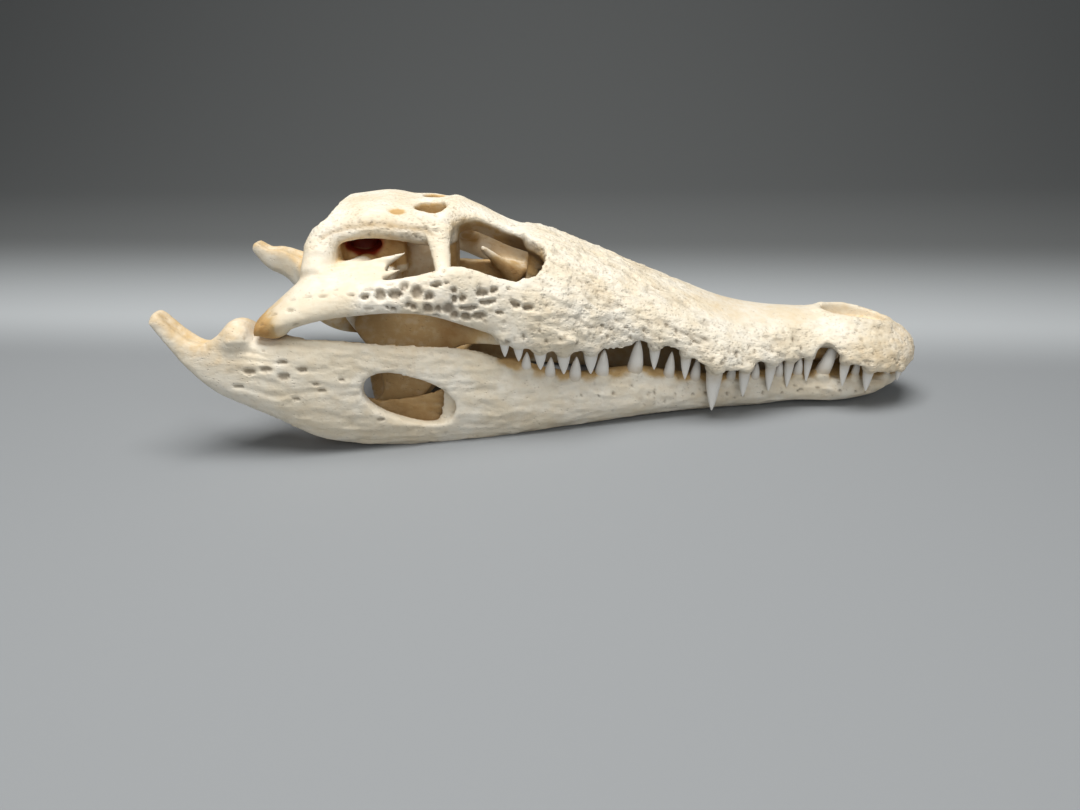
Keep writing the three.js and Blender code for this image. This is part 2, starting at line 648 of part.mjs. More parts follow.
function jawWindowCut() {
  const { x, z, long, high, power, turn } = JAW_WINDOW;
  const hole = prism(oval({ x, y: z, long, wide: high, power, turn }, 14), 0, 18);
  return hole.rotateX(Math.PI / 2).translate(0, -44, 0);
}

/** Everything behind the plane across X. */
function behind(x) {
  return new THREE.BoxGeometry(300, 200, 200).translate(x - 150, 0, 50);
}

/** Everything below the ground plane, so that the jaw lies on small flats. */
function ground() {
  return new THREE.BoxGeometry(400, 200, 20).translate(0, 0, -10);
}

function buildJaw() {
  const cuts = join([
    ...muscleSpace().map(solid),
    solid(jawWindowCut()),
    solid(rearTrough()),
    solid(jawCondyle(BONE_GAP)),
    ...upperTeeth.map((t) => solid(tooth(t, BONE_GAP))),
    solid(ground()),
  ]);
  return join([jawBone(), ...jointLip()].map(solid)).subtract(cuts)
    .add(join(lowerTeeth.map((t) => solid(tooth(t)))));
}

/** Arches the hooked rear end of a finished jaw upwards. */
function arched(geometry, rise) {
  const { position } = geometry.attributes;
  for (let i = 0; i < position.count; i += 1) {
    position.setZ(i, position.getZ(i) + rise * bump(position.getX(i), HOOK_ARCH.x, HOOK_ARCH.width));
  }
  geometry.computeVertexNormals();
  return geometry;
}

// ---- scene ---------------------------------------------------------------

const bone = new THREE.MeshStandardMaterial({ name: 'bone', color: 0xe6dcc4, roughness: 0.7 });

const skull = new THREE.Group();
skull.name = 'crocodile_skull';
const skullSolid = buildSkull();
skull.add(toMesh(skullSolid.subtract(solid(behind(FACE_SEAM))), 'upper_jaw', bone));
skull.add(toMesh(skullSolid.intersect(solid(behind(FACE_SEAM - SEAM_GAP))), 'cranium', bone));
const jawRight = toMesh(buildJaw(), 'lower_jaw_right', bone);
const jawLeft = new THREE.Mesh(arched(mirrored(jawRight.geometry), HOOK_ARCH.leftRise), bone);
jawLeft.name = 'lower_jaw_left';
skull.add(jawRight, jawLeft);

export default skull;
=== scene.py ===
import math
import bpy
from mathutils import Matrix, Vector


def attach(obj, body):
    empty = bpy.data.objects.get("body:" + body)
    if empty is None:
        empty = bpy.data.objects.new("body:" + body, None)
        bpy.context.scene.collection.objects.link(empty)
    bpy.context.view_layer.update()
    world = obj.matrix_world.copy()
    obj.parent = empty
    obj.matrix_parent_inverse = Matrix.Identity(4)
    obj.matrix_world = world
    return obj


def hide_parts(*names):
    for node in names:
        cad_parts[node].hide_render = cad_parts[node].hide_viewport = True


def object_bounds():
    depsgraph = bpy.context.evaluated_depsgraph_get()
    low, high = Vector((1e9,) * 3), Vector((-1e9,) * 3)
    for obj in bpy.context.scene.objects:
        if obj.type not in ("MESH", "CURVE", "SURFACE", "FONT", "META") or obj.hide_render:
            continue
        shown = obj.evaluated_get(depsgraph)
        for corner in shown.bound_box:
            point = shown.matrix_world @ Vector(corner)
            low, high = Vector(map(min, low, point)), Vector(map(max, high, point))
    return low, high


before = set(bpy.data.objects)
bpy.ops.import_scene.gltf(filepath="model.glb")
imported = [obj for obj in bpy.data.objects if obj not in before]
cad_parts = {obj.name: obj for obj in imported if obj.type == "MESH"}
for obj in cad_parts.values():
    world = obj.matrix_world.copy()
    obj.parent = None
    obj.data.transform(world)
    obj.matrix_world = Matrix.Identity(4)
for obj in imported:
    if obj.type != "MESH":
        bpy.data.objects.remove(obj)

# Looks of a young Nile crocodile's skull, lying closed on its lower jaw.
# Shapes are worked out in millimetres, +X to the snout tip, +Y to the animal's left, +Z up.
# The right side (negative y) is built, and mirrored. Each bone begins as numpy surfaces: profiles
# carried along the skull. Bones grow into one another with rounded joins that a grid surface
# can't give, so the surfaces are blended as distances in a fine grid and skinned once.

from types import SimpleNamespace

import bpy
import numpy as np
import openvdb
from mathutils import Matrix, Vector
from mathutils.geometry import tessellate_polygon

MM = 0.001
CAD_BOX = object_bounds()               # of the solids, before anything is added

# ---- driving dimensions, mm ------------------------------------------------

SNOUT_TIP = CAD_BOX[1][0] / MM      # lengths s run back from it
JAW_END = CAD_BOX[0][0] / MM
FACE_REAR = -16.0                   # the face ends inside the orbits
TABLE_FRONT = -40.0                 # the flat table behind the orbits
TABLE_REAR = -86.0
CHIN_REAR = 76.0                    # where the two jaw bones meet
BROW_DEPTH = 9.5                    # of the roof between the orbits
CHEEK_THICKNESS = 5.5
BONE_GAP = 0.4                      # between the skull and the lower jaw
MIDLINE_GAP = 0.15                  # from the chin's seam to each jaw bone
TOOTH_ROOT = 1.6                    # how far a tooth is sunk into its jaw
CANINE = 2                          # the lower tooth that stands in the notch of the upper jaw

VOXEL = 0.8                         # edge of the grid's cubes
BAND = 6                            # cubes on each side of a surface that hold distances
FAR = BAND * VOXEL

# Profiles as (position, value) knots. Those of the skull's outline are measured back from the tip.
HALF_WIDTH = ((0, 3), (4, 11), (10, 16.5), (18, 20.5), (28, 22), (36, 21.2), (44, 19.2), (54, 21.5),
              (70, 28), (84, 32.3), (100, 31.6), (120, 34.5), (144, 42.5), (175, 48.5), (210, 54.5),
              (246, 58.5))
TOP_LINE = ((0, 21), (3, 26.5), (9, 30.2), (18, 33.4), (30, 35.6), (46, 36), (62, 36.6), (76, 39),
            (90, 44), (119, 55.6), (135, 61.8), (149, 67.2), (156, 69.2), (162, 71.2), (168, 74),
            (174, 76.8), (181, 79.4), (190, 79.8), (199, 79.8), (206, 80.8), (212, 81.2), (226, 80.2))
TOOTH_LINE = ((0, 18.5), (8, 16.3), (16, 15.6), (27, 19), (37, 21.8), (50, 22), (64, 21.3),
              (80, 21.3), (90, 24.2), (101, 30.4), (120, 31.5), (143, 33), (156, 36.4), (175, 44),
              (188, 48.8), (203, 50.3), (226, 48.6), (244, 45))
CHEEK_TOP = ((20, 44), (2, 53), (-12, 56.6), (-24, 60), (-38, 64.8), (-50, 62.4), (-64, 60.5),
             (-80, 57.5), (-98, 51.5))
ROOF_HALF_WIDTH = ((8, 20), (-6, 12.6), (-16, 9.8), (-28, 9.9), (-37, 15), (-44, 25))
TABLE_HALF_WIDTH = ((-40, 17.5), (-46, 25.5), (-60, 29.5), (-78, 30.5), (-86, 31))
JAW_HALF_WIDTH = ((-140, 55), (-128, 57), (-110, 58.5), (-90, 57.5), (-60, 51.5), (-30, 45), (0, 37.5),
                  (30, 30), (60, 23.5), (90, 18), (108, 17.2), (122, 14.5), (132, 9), (137, 3.5))
JAW_TOP = ((-140, 51.2), (-137.5, 52.4), (-132, 46), (-126, 42), (-120, 41.4), (-112, 42.4),
           (-98, 42.2), (-84, 41.9), (-64, 39.5), (-45, 37), (-34, 34.5), (-26, 30.8), (-17, 26.2),
           (-8, 22.6), (4, 19.8), (26, 20), (36, 17.6), (56, 14), (100, 13.8), (126, 12.6), (137, 11))
JAW_BOTTOM = ((-140, 47.5), (-136, 40), (-126, 27), (-114, 18), (-100, 11), (-85, 4.2), (-66, 0.2),
              (-50, -0.8), (-30, -0.8), (0, 0.3), (50, 0.6), (90, -0.3), (108, -0.6), (120, 1.2),
              (130, 5), (137, 8))
JAW_THICKNESS = ((-140, 8), (-132, 11), (-122, 13), (-112, 22), (-102, 22), (-94, 13), (-86, 11),
                 (-60, 10.8), (-30, 10.5), (0, 9.5), (40, 8.6), (80, 9))
HOOK_ARCH = (-126, 8, 8)            # the left jaw's hooked end is arched higher: place, width, rise
NOTCHES = ((40.8, 7, 3.8), (68, 2.6, 2.4), (114, 3, 3))   # in the tooth line: place, height, half-length

# Stations of the broad parts: x, then the values that each part's function names. The flange's
# are the corners of its outline, x and z.
QUADRATE = ((-63, 31, 49, 63.4, 58.8, 3), (-70, 29.5, 50.8, 63.4, 58.5, 5.5),
            (-79, 28.5, 52.5, 63.8, 57.5, 8), (-88, 31, 54, 63.2, 55, 9),
            (-97, 36, 55.2, 55.5, 51.5, 8.5), (-106, 38.5, 54.8, 46.4, 46.2, 3.4))
PALATE_WING = ((-36, 10, 29, 1, 3.5), (-43, 33, 29, 3, 4), (-54, 35.5, 29, 14, 4.5),
               (-66, 34.5, 31, 22, 4.5), (-73, 31, 32, 20, 4), (-79, 12, 33, 4, 4))
FLANGE = ((3, 37), (-20, 35.6), (-40, 34), (-50.5, 18), (-62, 7), (-76, 4.5), (-74, 10), (-68, 17),
          (-70.5, 30), (-76.5, 42), (-66, 48), (-40, 47), (-14, 44))
HOLLOW = ((26, 11, 15, 38), (18, 8.5, 21, 42), (8, 7, 26, 47), (-3, -4, 30, 55), (-12, -6, 34, 61),
          (-40, -8, 42, 70))
TABLE_GROOVE = ((-88, 71.2), (-79, 74.6), (-66, 76.2), (-52, 74), (-44, 72))   # x, z along its side
EAR_WALL = ((-59, 16.5), (-66, 17.6), (-76, 18.6), (-83, 21), (-88, 27))

# Bars of bone along smooth paths, as stops of x, y, z, half-breadth, half-height.
SKULL_BASE = ((-80, 0, 60, 10, 9), (-84, 0, 54, 9, 7), (-81, 0, 40, 10, 4.5), (-74, 0, 30, 11, 3))
NECK_KNOB = ((-82, 0, 56, 4, 4), (-87, 0, 55.6, 5, 5), (-91.5, 0, 55, 3, 3))
QUADRATE_ROOT = ((-66, -8, 56, 5, 12), (-71, -20, 56, 5, 9.5), (-77, -32, 56.5, 5.5, 6.5),
                 (-86, -44, 53, 6, 4.5))
TABLE_CORNER = ((-85, -26, 73, 5, 4), (-87, -32, 67, 5, 4), (-87.5, -39, 60, 5, 4))
UPPER_SPLINT = ((-80, -33.6, 60.5, 3, 3), (-70, -33.4, 62, 2.4, 2.4), (-64.6, -33.4, 63.6, 1.7, 2.1),
                (-60.4, -33.2, 65.3, 1.1, 1.25), (-56.2, -33, 67.1, 0.5, 0.45))
LOWER_SPLINT = ((-76, -43, 58, 3, 2.6), (-66, -41, 59.8, 2.2, 1.9), (-61.4, -40, 61.3, 1.3, 1.2),
                (-57, -38.8, 62.9, 0.5, 0.45))
TABLE_EDGE = ((-91, -29.4, 67.4, 1.6, 1.8), (-86, -29.2, 69.6, 2, 2.4), (-79, -28.6, 72.0, 2, 2.4),
              (-70, -28, 73.2, 2, 2.4), (-60, -27, 72.2, 2, 2.4), (-50, -25.5, 70.0, 2.2, 2.4),
              (-43, -24.5, 69.6, 2.4, 2.6))
POSTORBITAL_BAR = ((-46, -24, 74, 6, 4), (-45.2, -29, 70.5, 4.3, 2.6), (-43.8, -35, 64.8, 3.3, 2.0),
                   (-42.8, -39.6, 60.4, 3.1, 2.4), (-42, -44, 56, 4.4, 3))
ORBIT_PILLAR = ((-10, -9, 66, 3.4, 4), (-13, -8, 52, 2.2, 2.8), (-16, -6, 36, 3, 3),
                (-17, -5, 31, 3.4, 3.4))
ORBIT_SPUR = ((-19, -37.5, 38, 2.4, 6), (-26, -36.2, 43.5, 2, 3.4), (-31.6, -35, 49, 1.5, 2.1),
              (-36.4, -33.6, 53.4, 1.1, 1.3))
JOINT_SADDLE = ((-112, -38, 38.5, 4, 5), (-112.6, -46, 42.4, 4.4, 5.3), (-112.6, -51.5, 42.2, 4.8, 5.6),
                (-111, -56, 39.5, 4, 4.4))
SADDLE_RIDGE = ((-124, -52.5, 37, 3, 3), (-118, -52.5, 40.6, 3, 3.6), (-112, -53, 42, 3.4, 4))
HOOK_GROOVE = ((-118, -49.5, 44.6, 2.6, 2.4), (-124, -50.2, 43.2, 3.3, 3.2),
               (-130, -50.4, 46.0, 3.2, 3.0), (-135.5, -50.2, 52.0, 2.8, 2.6),
               (-137.5, -50, 56.5, 2.4, 2.4))

# Openings: x, y, half-length, half-breadth.
ORBIT = (-26, -24.2, 17.6, 14.3)
NOSTRIL = (114, 0, 12.5, 8.6)
TABLE_WINDOW = (-50, -10.8, 5.4, 6.8)
TABLE_DIMPLE = (-60.8, -19.5)
EAR = (-73.6, 67.2)                 # its x and z
JAW_WINDOW = (-56, 18.6, 16.6, 8)   # in x and z

# Teeth: distance from the snout tip, crown length, crown diameter at the gum.
UPPER_TEETH = ((10.2, 5, 2.6), (23.5, 9.8, 4.4), (33, 10.6, 4.0), (46.6, 10.6, 3.4), (54.4, 12, 3.9),
               (62.3, 11.8, 4.2), (73, 12, 4.6), (84.9, 18.2, 6.4), (96, 10.6, 4.3), (107.8, 9.8, 4.4),
               (131.7, 10, 5.8), (141.6, 9.4, 5.4), (150, 8.4, 5.2), (157.6, 6.8, 4.2), (162.4, 6.6, 4))
LOWER_TEETH = ((13, 5, 2.6), (27, 7, 3.2), (40.2, 14, 6.2), (50, 7.6, 4), (57.6, 6.8, 4),
               (67.2, 6.4, 3.8), (77, 7.4, 3.9), (91.4, 9, 4.3), (101.8, 10, 4.5), (115, 13.2, 6.2),
               (127.6, 10.4, 5.6), (137.6, 8.4, 5), (146.8, 7, 4.4), (155.4, 6.6, 4.2))

# Largest hollows of the sculptured cheek, and those at the rear of the lower jaw: x, z,
# half-length, half-height.
CHEEK_PITS = ((-62.6, 57.4, 1.9, 2), (-57.7, 57.5, 2.5, 1.4), (-55, 59.6, 1.5, 1.4),
              (-50.6, 57.5, 1.8, 2.3), (-46.8, 56.2, 1.5, 1.4), (-47.4, 52.1, 1.6, 1.8),
              (-43.8, 52, 1.1, 1.5), (-44.6, 48.8, 0.9, 1), (-38.5, 57.9, 1.2, 0.9),
              (-38.3, 54.9, 1.2, 1.5), (-35.4, 54.9, 1.2, 1.1), (-40.4, 51.7, 2.1, 2.3),
              (-38.6, 48.9, 1.7, 1.6), (-34.8, 48.3, 1.8, 1.3), (-30.2, 48.4, 2.5, 1.1),
              (-29.2, 56.1, 2.2, 1.3), (-25.4, 57, 1.6, 0.9), (-33.5, 51.5, 3.3, 0.9),
              (-27.2, 53, 2.9, 0.8), (-17.9, 51.4, 1.5, 1), (-13.8, 50.5, 1.9, 1.1),
              (-67.7, 57, 1.2, 1.1), (-58.3, 52.6, 1.2, 0.8), (-52, 52.6, 0.9, 0.9),
              (-44.3, 60, 2.1, 0.7), (-51.2, 49.4, 1, 0.8), (-23.6, 49.2, 1.1, 0.8))
JAW_PITS = ((-107.7, 32.7, 2.1, 1.1), (-102.2, 33.4, 2.1, 1.1), (-96.4, 30.9, 2.3, 1.3),
            (-90.1, 32.9, 1.9, 0.9), (-96.5, 35.6, 1.9, 0.6), (-112, 27.6, 1.8, 0.7),
            (-84.5, 25.2, 1.2, 0.6), (-93, 22.6, 1.4, 0.6))

# ---- numbers and curves ----------------------------------------------------


def profile(knots):
    """Smooth curve through knots: between two of them a cubic, whose slope at each knot is that of
    the chord between the knot's neighbours."""
    at, value = np.array(sorted(knots), float).T
    before = np.maximum(np.arange(len(at)) - 1, 0)
    after = np.minimum(np.arange(len(at)) + 1, len(at) - 1)
    slope = (value[after] - value[before]) / (at[after] - at[before])

    def curve(position):
        p = np.clip(position, at[0], at[-1])
        i = np.clip(np.searchsorted(at, p) - 1, 0, len(at) - 2)
        span = at[i + 1] - at[i]
        t = (p - at[i]) / span
        rise = value[i + 1] - value[i]
        left = slope[i] * span
        right = slope[i + 1] * span
        return (value[i] + left * t + (3 * rise - 2 * left - right) * t ** 2
                + (left + right - 2 * rise) * t ** 3)

    return curve


def along_stations(stations, x):
    """Each value of the stations at the places x, on smooth curves through them."""
    at, *values = zip(*stations)
    return (profile(list(zip(at, value)))(x) for value in values)


def from_tip(knots):
    """Smooth curve through knots whose positions run back from the snout tip."""
    curve = profile(knots)
    return lambda x: curve(SNOUT_TIP - x)


def step(value, low, high):
    """0 below low and 1 above high, with a smooth cubic between them."""
    t = np.clip((value - low) / (high - low), 0, 1)
    return t * t * (3 - 2 * t)


def window(value, low, high, soft):
    """1 between low and high, fading to 0 over the soft width outside them."""
    return step(value, low - soft, low) * (1 - step(value, high, high + soft))


def bump(value, centre, width):
    """Bell curve of height 1."""
    return np.exp(-((value - centre) / width) ** 2)


def mix(a, b, share):
    """The value a share of the way from a to b."""
    return a + (b - a) * share


half_width = from_tip(HALF_WIDTH)
top_line = from_tip(TOP_LINE)
plain_tooth_line = from_tip(TOOTH_LINE)
cheek_top = profile(CHEEK_TOP)
roof_half_width = profile(ROOF_HALF_WIDTH)
table_half_width = profile(TABLE_HALF_WIDTH)
jaw_half_width = profile(JAW_HALF_WIDTH)
jaw_top = profile(JAW_TOP)
jaw_bottom = profile(JAW_BOTTOM)
jaw_thickness = profile(JAW_THICKNESS)


def tooth_line(x):
    """Lower edge of the upper jaw: the smooth line and one bell-shaped hollow for each notch."""
    return plain_tooth_line(x) + sum(high * bump(SNOUT_TIP - x, at, half) for at, high, half in NOTCHES)


def jaw_inner(x):
    """Distance of a jaw bone's inner face from the midline."""
    return np.maximum(jaw_half_width(x) - jaw_thickness(x), MIDLINE_GAP)


# ---- surfaces ---------------------------------------------------------------


def rounded(angle, power):
    """Cosine and sine of a superellipse: each to the power 2/power, with its own sign kept."""
    c, s = np.cos(angle), np.sin(angle)
    return np.sign(c) * abs(c) ** (2 / power), np.sign(s) * abs(s) ** (2 / power)


def column(values):
    """Values that change down a grid and stay the same across it."""
    return np.asarray(values, float).reshape(-1, 1)


def sections(x, y0, y1, z0, z1, power=2.4, sides=40):
    """Superellipses across X, one for each station x, between y0 and y1 and between z0 and z1."""
    c, s = rounded(np.linspace(0, 2 * np.pi, sides, endpoint=False)[None], power)
    x, y0, y1, z0, z1 = (column(v) for v in (x, y0, y1, z0, z1))
    y = mix(y0, y1, (1 + c) / 2)
    z = mix(z0, z1, (1 + s) / 2)
    return np.stack(np.broadcast_arrays(x, y, z), -1)


def skin(rings):
    """Closed surface over a grid of rings: two triangles for each cell, and a fan over each end."""
    count, sides = rings.shape[:2]
    points = np.concatenate([rings.reshape(-1, 3), rings[:1].mean(1), rings[-1:].mean(1)])
    r, k = np.mgrid[:count - 1, :sides]
    a, b = r * sides + k, r * sides + (k + 1) % sides
    walls = np.stack([a, b, a + sides, b, b + sides, a + sides], -1).reshape(-1, 3)
    k = np.arange(sides)
    n = (k + 1) % sides
    first = np.stack([n, k, np.full(sides, count * sides)], -1)
    last = np.stack([k, n, np.full(sides, count * sides + 1)], -1)
    last[:, :2] += (count - 1) * sides
    return outward(points, np.concatenate([walls, first, last]))


def outward(points, faces):
    """The same surface with its faces turned out, found by the sign of its volume: the sum over the
    fan of triangles in each face."""
    fans = [np.cross(points[faces[:, i]], points[faces[:, i + 1]]) for i in range(1, faces.shape[1] - 1)]
    volume = (points[faces[:, 0]] * sum(fans)).sum()
    return points, (faces if volume > 0 else faces[:, ::-1])


def prism(outline, low, high):
    """An outline in x and y carried along Z from low to high."""
    sides = len(outline)
    flat = np.asarray(outline, float)
    points = np.concatenate([np.c_[flat, np.full(sides, z)] for z in (low, high)])
    cap = np.array(tessellate_polygon([[Vector((x, y, 0)) for x, y in flat]]))
    k = np.arange(sides)
    n = (k + 1) % sides
    walls = np.concatenate([np.stack([k, n, n + sides], -1), np.stack([k, n + sides, k + sides], -1)])
    area = np.cross(flat[cap[:, 1]] - flat[cap[:, 0]], flat[cap[:, 2]] - flat[cap[:, 0]])
    cap = np.where(area[:, None] > 0, cap, cap[:, ::-1])
    turn = (flat[k, 0] * flat[n, 1] - flat[n, 0] * flat[k, 1]).sum()
    walls = walls if turn > 0 else walls[:, ::-1]
    return outward(points, np.concatenate([walls, cap + sides, cap[:, ::-1]]))


def oval(x, y, long, wide, power=2.0, turn=0.0, sides=64):
    """Superellipse round (x, y), turned about its centre."""
    c, s = rounded(np.linspace(0, 2 * np.pi, sides, endpoint=False), power)
    return np.stack([x + long * c * math.cos(turn) - wide * s * math.sin(turn),
                     y + long * c * math.sin(turn) + wide * s * math.cos(turn)], -1)


def bar(*stops, count=28, sides=24):
    """A bone swept along a smooth path. Each stop is (x, y, z, half-breadth, half-height); its ring is
    an ellipse across the path, and each end is domed over a twentieth of the path."""
    at = np.linspace(0, 1, len(stops))
    u = np.linspace(0, 1, count)
    x, y, z, breadth, height = along_stations([(a, *stop) for a, stop in zip(at, stops)], u)
    path = np.stack([x, y, z], -1)
    forward = np.gradient(path, axis=0)
    forward /= np.linalg.norm(forward, axis=1, keepdims=True)
    steep = np.hypot(forward[:, 0], forward[:, 1]).min() < 0.2
    side = np.cross([0, 1, 0] if steep else [0, 0, 1], forward)
    side /= np.linalg.norm(side, axis=1, keepdims=True)
    up = np.cross(forward, side)
    dome = np.sqrt(1 - np.clip(abs(2 * u - 1) * 10 - 9, 0, 0.96) ** 2)
    t = np.linspace(0, 2 * np.pi, sides, endpoint=False)
    rings = (path[:, None] + side[:, None] * (column(breadth * dome) * np.cos(t))[..., None]
             + up[:, None] * (column(height * dome) * np.sin(t))[..., None])
    return skin(rings)


def ball(x, y, z, rx, ry, rz, sides=24):
    """Ellipsoid as circles of latitude."""
    v = np.linspace(0.02, np.pi - 0.02, sides // 2 + 1)
    t = np.linspace(0, 2 * np.pi, sides, endpoint=False)
    rings = np.stack([x + rx * column(np.sin(v)) * np.cos(t), y + ry * column(np.sin(v)) * np.sin(t),
                      z + rz * column(np.cos(v)) * np.ones(sides)], -1)
    return skin(rings)


# ---- the skull's bones, right side ------------------------------------------


def face():
    """Snout and face: half a superellipse over each station, from the tooth line to the top line, its
    power growing from 2.1 at the snout to 2.75 at the orbits. Notches rise with the cube of the
    nearness to the tooth line, and the palate closes it below."""
    behind = [[0, 0.7, 1.6, 2.8, 4.2, 6, 8, 10], np.arange(12, SNOUT_TIP - FACE_REAR, 1.5)]
    x = column(SNOUT_TIP - np.concatenate(behind))
    angle = np.linspace(0, np.pi, 61)[None]
    power = mix(2.1, 2.75, step(SNOUT_TIP - x, 60, 150))
    c, s = rounded(angle, power)
    low, high, w = plain_tooth_line(x), top_line(x), half_width(x)
    notch = tooth_line(x) - low
    vault = np.stack(np.broadcast_arrays(x, w * c, low + (high - low) * s + notch * (1 - s) ** 3), -1)
    edge = np.maximum(w - 5, w * 0.4)
    palate = low + np.minimum(3, w / 8)
    mouth = np.stack([np.concatenate([x, -edge, palate], 1), np.concatenate([x, edge, palate], 1)], 1)
    return skin(np.concatenate([vault, mouth], 1))


def brow_roof():
    """Strip of roof between the orbits: flat superellipses that flare back into the table, drawn in
    below their rims, and bent down at the sides like the table where they meet it."""
    x = np.linspace(4, -46, 40)
    v, high = roof_half_width(x), top_line(x)
    rings = sections(x, -v, v, high - BROW_DEPTH, high, 3.2, 56)
    edge = abs(rings[..., 1]) / column(v)
    below = (column(high) - rings[..., 2]) / BROW_DEPTH
    rings[..., 1] *= 1 - 0.62 * step(below, 0.16, 1)
    rings[..., 2] -= (3.4 * edge ** 3.2 + 2.6 * edge ** 3) * step(-column(x), 32, 46)
    return skin(rings)


def skull_table():
    """Flat table: wide superellipses that fall at the sides with the power 3.2 of the distance from
    the midline, most at the rear, with the rear corners drawn back with its fourth power and the
    front corners bent down with its cube."""
    x = np.linspace(TABLE_FRONT, TABLE_REAR, 36)
    v = table_half_width(x)
    rings = sections(x, -v, v, top_line(x) - 7 - 3.5 * bump(x, -44, 6), top_line(x), 3.6, 64)
    edge = abs(rings[..., 1]) / column(v)
    rear = step(-column(x), 68, 87)
    rings[..., 0] -= rear * (8 * edge ** 4 - 2)
    front = 1 - step(-column(x), 42, 54)
    rings[..., 2] -= 3.4 * edge ** 3.2 + rear * 6 * edge ** 3.2 + front * 2.6 * edge ** 3
    return skin(rings)


def cheek_bar():
    """Jugal and quadratojugal: narrow superellipses below the orbit and the side window, leaning in
    with the square of the height."""
    x = np.linspace(14, -98, 76)
    w, low, high = half_width(x) - 0.2, tooth_line(x) + 0.2, cheek_top(x)
    shrink = 4.5 * (1 - step(-x, -14, 14))
    rings = sections(x, -w + shrink / 2, -w + CHEEK_THICKNESS, low + shrink, high - shrink, 2.5)
    rings[..., 1] += 3.4 * ((rings[..., 2] - column(low)) / column(high - low)) ** 2
    return skin(rings)


def quadrate():
    """Broad ramp from under the table out and back to the jaw joint: sections that follow smooth
    curves through stations of inner and outer edge, their heights and the thickness, arched a
    little across."""
    x = np.linspace(-63, -106, 40)
    inner, outer, inner_z, outer_z, thick = along_stations(QUADRATE, x)
    rings = sections(x, -outer, -inner, -thick, 0 * x, 2.8)
    u = (-rings[..., 1] - column(inner)) / column(outer - inner)
    rings[..., 2] += mix(column(inner_z), column(outer_z), u) + 1.6 * np.sin(np.pi * u)
    return skin(rings)


def jaw_condyle(extra=0.0):
    """Double roller of the jaw joint: two swellings on a bar across the end of the quadrate."""
    x, z, inner, outer, long, high = -99.6, 46.2, 37, 56, 5.4, 3.8
    return bar(*((x, -y, z + rise, long * size + extra, high * size + extra) for y, rise, size in
                 ((inner + 0.5 - extra, 0, 0.72), (inner + 4.5, 0, 1), ((inner + outer) / 2, 0.6, 0.84),
                  (outer - 4.5, 0, 1), (outer - 0.5 + extra, 0, 0.7))))


def braincase():
    """Braincase below the table: superellipses that widen and deepen evenly to the rear."""
    x = np.linspace(-42, -84, 16)
    u = (-42 - x) / 42
    v = 7 + 7 * u
    return skin(sections(x, -v, v, 52 - 16 * u, 75 + 0 * x))


def occiput():
    """Rear wall: upright superellipses along y, bowed back at the sides with the square of y."""
    y = np.linspace(-36, 36, 49)
    u = abs(y) / 36
    rings = sections(y, -4 + 0.8 * u, 4 - 0.8 * u, 53 + 6 * u ** 2, 75 - 6 * u ** 3, 2.6)
    along, across, high = np.moveaxis(rings, -1, 0)
    return skin(np.stack([-82 - 3.2 * column(u) ** 2 + across - 0.12 * (high - 64), along, high], -1))


def pterygoid_wing():
    """Plate that falls from the midline out to the inner face of the jaw, as the power 1.6 of y,
    with stations of outer edge, height, fall and thickness."""
    x = np.linspace(-36, -79, 30)
    outer, z, fall, thick = along_stations(PALATE_WING, x)
    rings = sections(x, -outer, 2 + 0 * x, -thick, 0 * x, 3)
    u = np.clip(-rings[..., 1] / column(outer), 0, None)
    rings[..., 2] += column(z) - column(fall) * u ** 1.6
    return skin(rings)


def pterygoid_flange():
    """Outer plate of the wing, hooked behind and below: a smooth closed outline in x and z, carried
    sideways for its thickness and sheared inwards to the rear."""
    ring = FLANGE[-2:] + FLANGE + FLANGE[:3]
    t = np.linspace(0, len(FLANGE), 90, endpoint=False)
    outline = np.stack(list(along_stations([(i - 2, *corner) for i, corner in enumerate(ring)], t)), -1)
    points, triangles = prism(outline, -1.7, 1.7)
    x, z, side = points.T
    return outward(np.stack([x, -0.09 * x - 41.6 - side, z], -1), triangles)


def palatine_keel():
    """Bar along the middle of the palate, waisted with a half sine."""
    x = np.linspace(34, -48, 30)
    u = (34 - x) / 82
    v = 9 - 3.4 * np.sin(np.pi * u)
    z = 33 - 3.6 * u
    return skin(sections(x, -v, v, z - 3, z + 3, 2.6))


def orbital_hollow():
    """Space below the roof and between the cheeks, open to the palate: superellipses through
    stations of inner side, outer side and top."""
    x = np.linspace(26, -40, 40)
    inner, outer, high = along_stations(HOLLOW, x)
    return skin(sections(x, -outer, -inner, 20 + 0 * x, high, 3))


def ear_wall():
    """Inner wall of the ear recess, along stations of its distance from the midline."""
    x = np.linspace(-59, -87, 20)
    inset = profile(EAR_WALL)(x)
    return skin(sections(x, -inset - 2.4, -inset + 3, 56 + 0 * x, 76 + 0 * x, 3))


def ear_floor():
    """Floor of the ear recess, rising to the rear."""
    x = np.linspace(-62, -86, 12)
    return skin(sections(x, 0 * x - 32, 0 * x - 16, 55 + 0 * x, mix(60.4, 61.6, (-62 - x) / 24), 3))


def spine_hole():
    """Round hole through the rear wall: a prism along Z turned to run along X."""
    points, triangles = prism(oval(65.5, 0, 4.4, 5.2), -5, 14)
    z, y, x = points.T
    return outward(np.stack([-78 - x, y, z], -1), triangles)


def nostril_rim():
    """Raised rim round the bony nostril: low sections whose half-width is a half circle in x."""
    u = np.linspace(-1, 1, 30)
    x = 114 + 16 * u
    v = 1.5 + 10.5 * np.sqrt(1 - u ** 2)
    return skin(sections(x, -v, v, top_line(x) - 5, top_line(x) + 0.9 - 0.7 * u ** 2, 3))


# ---- the lower jaw's bones, right side ---------------------------------------


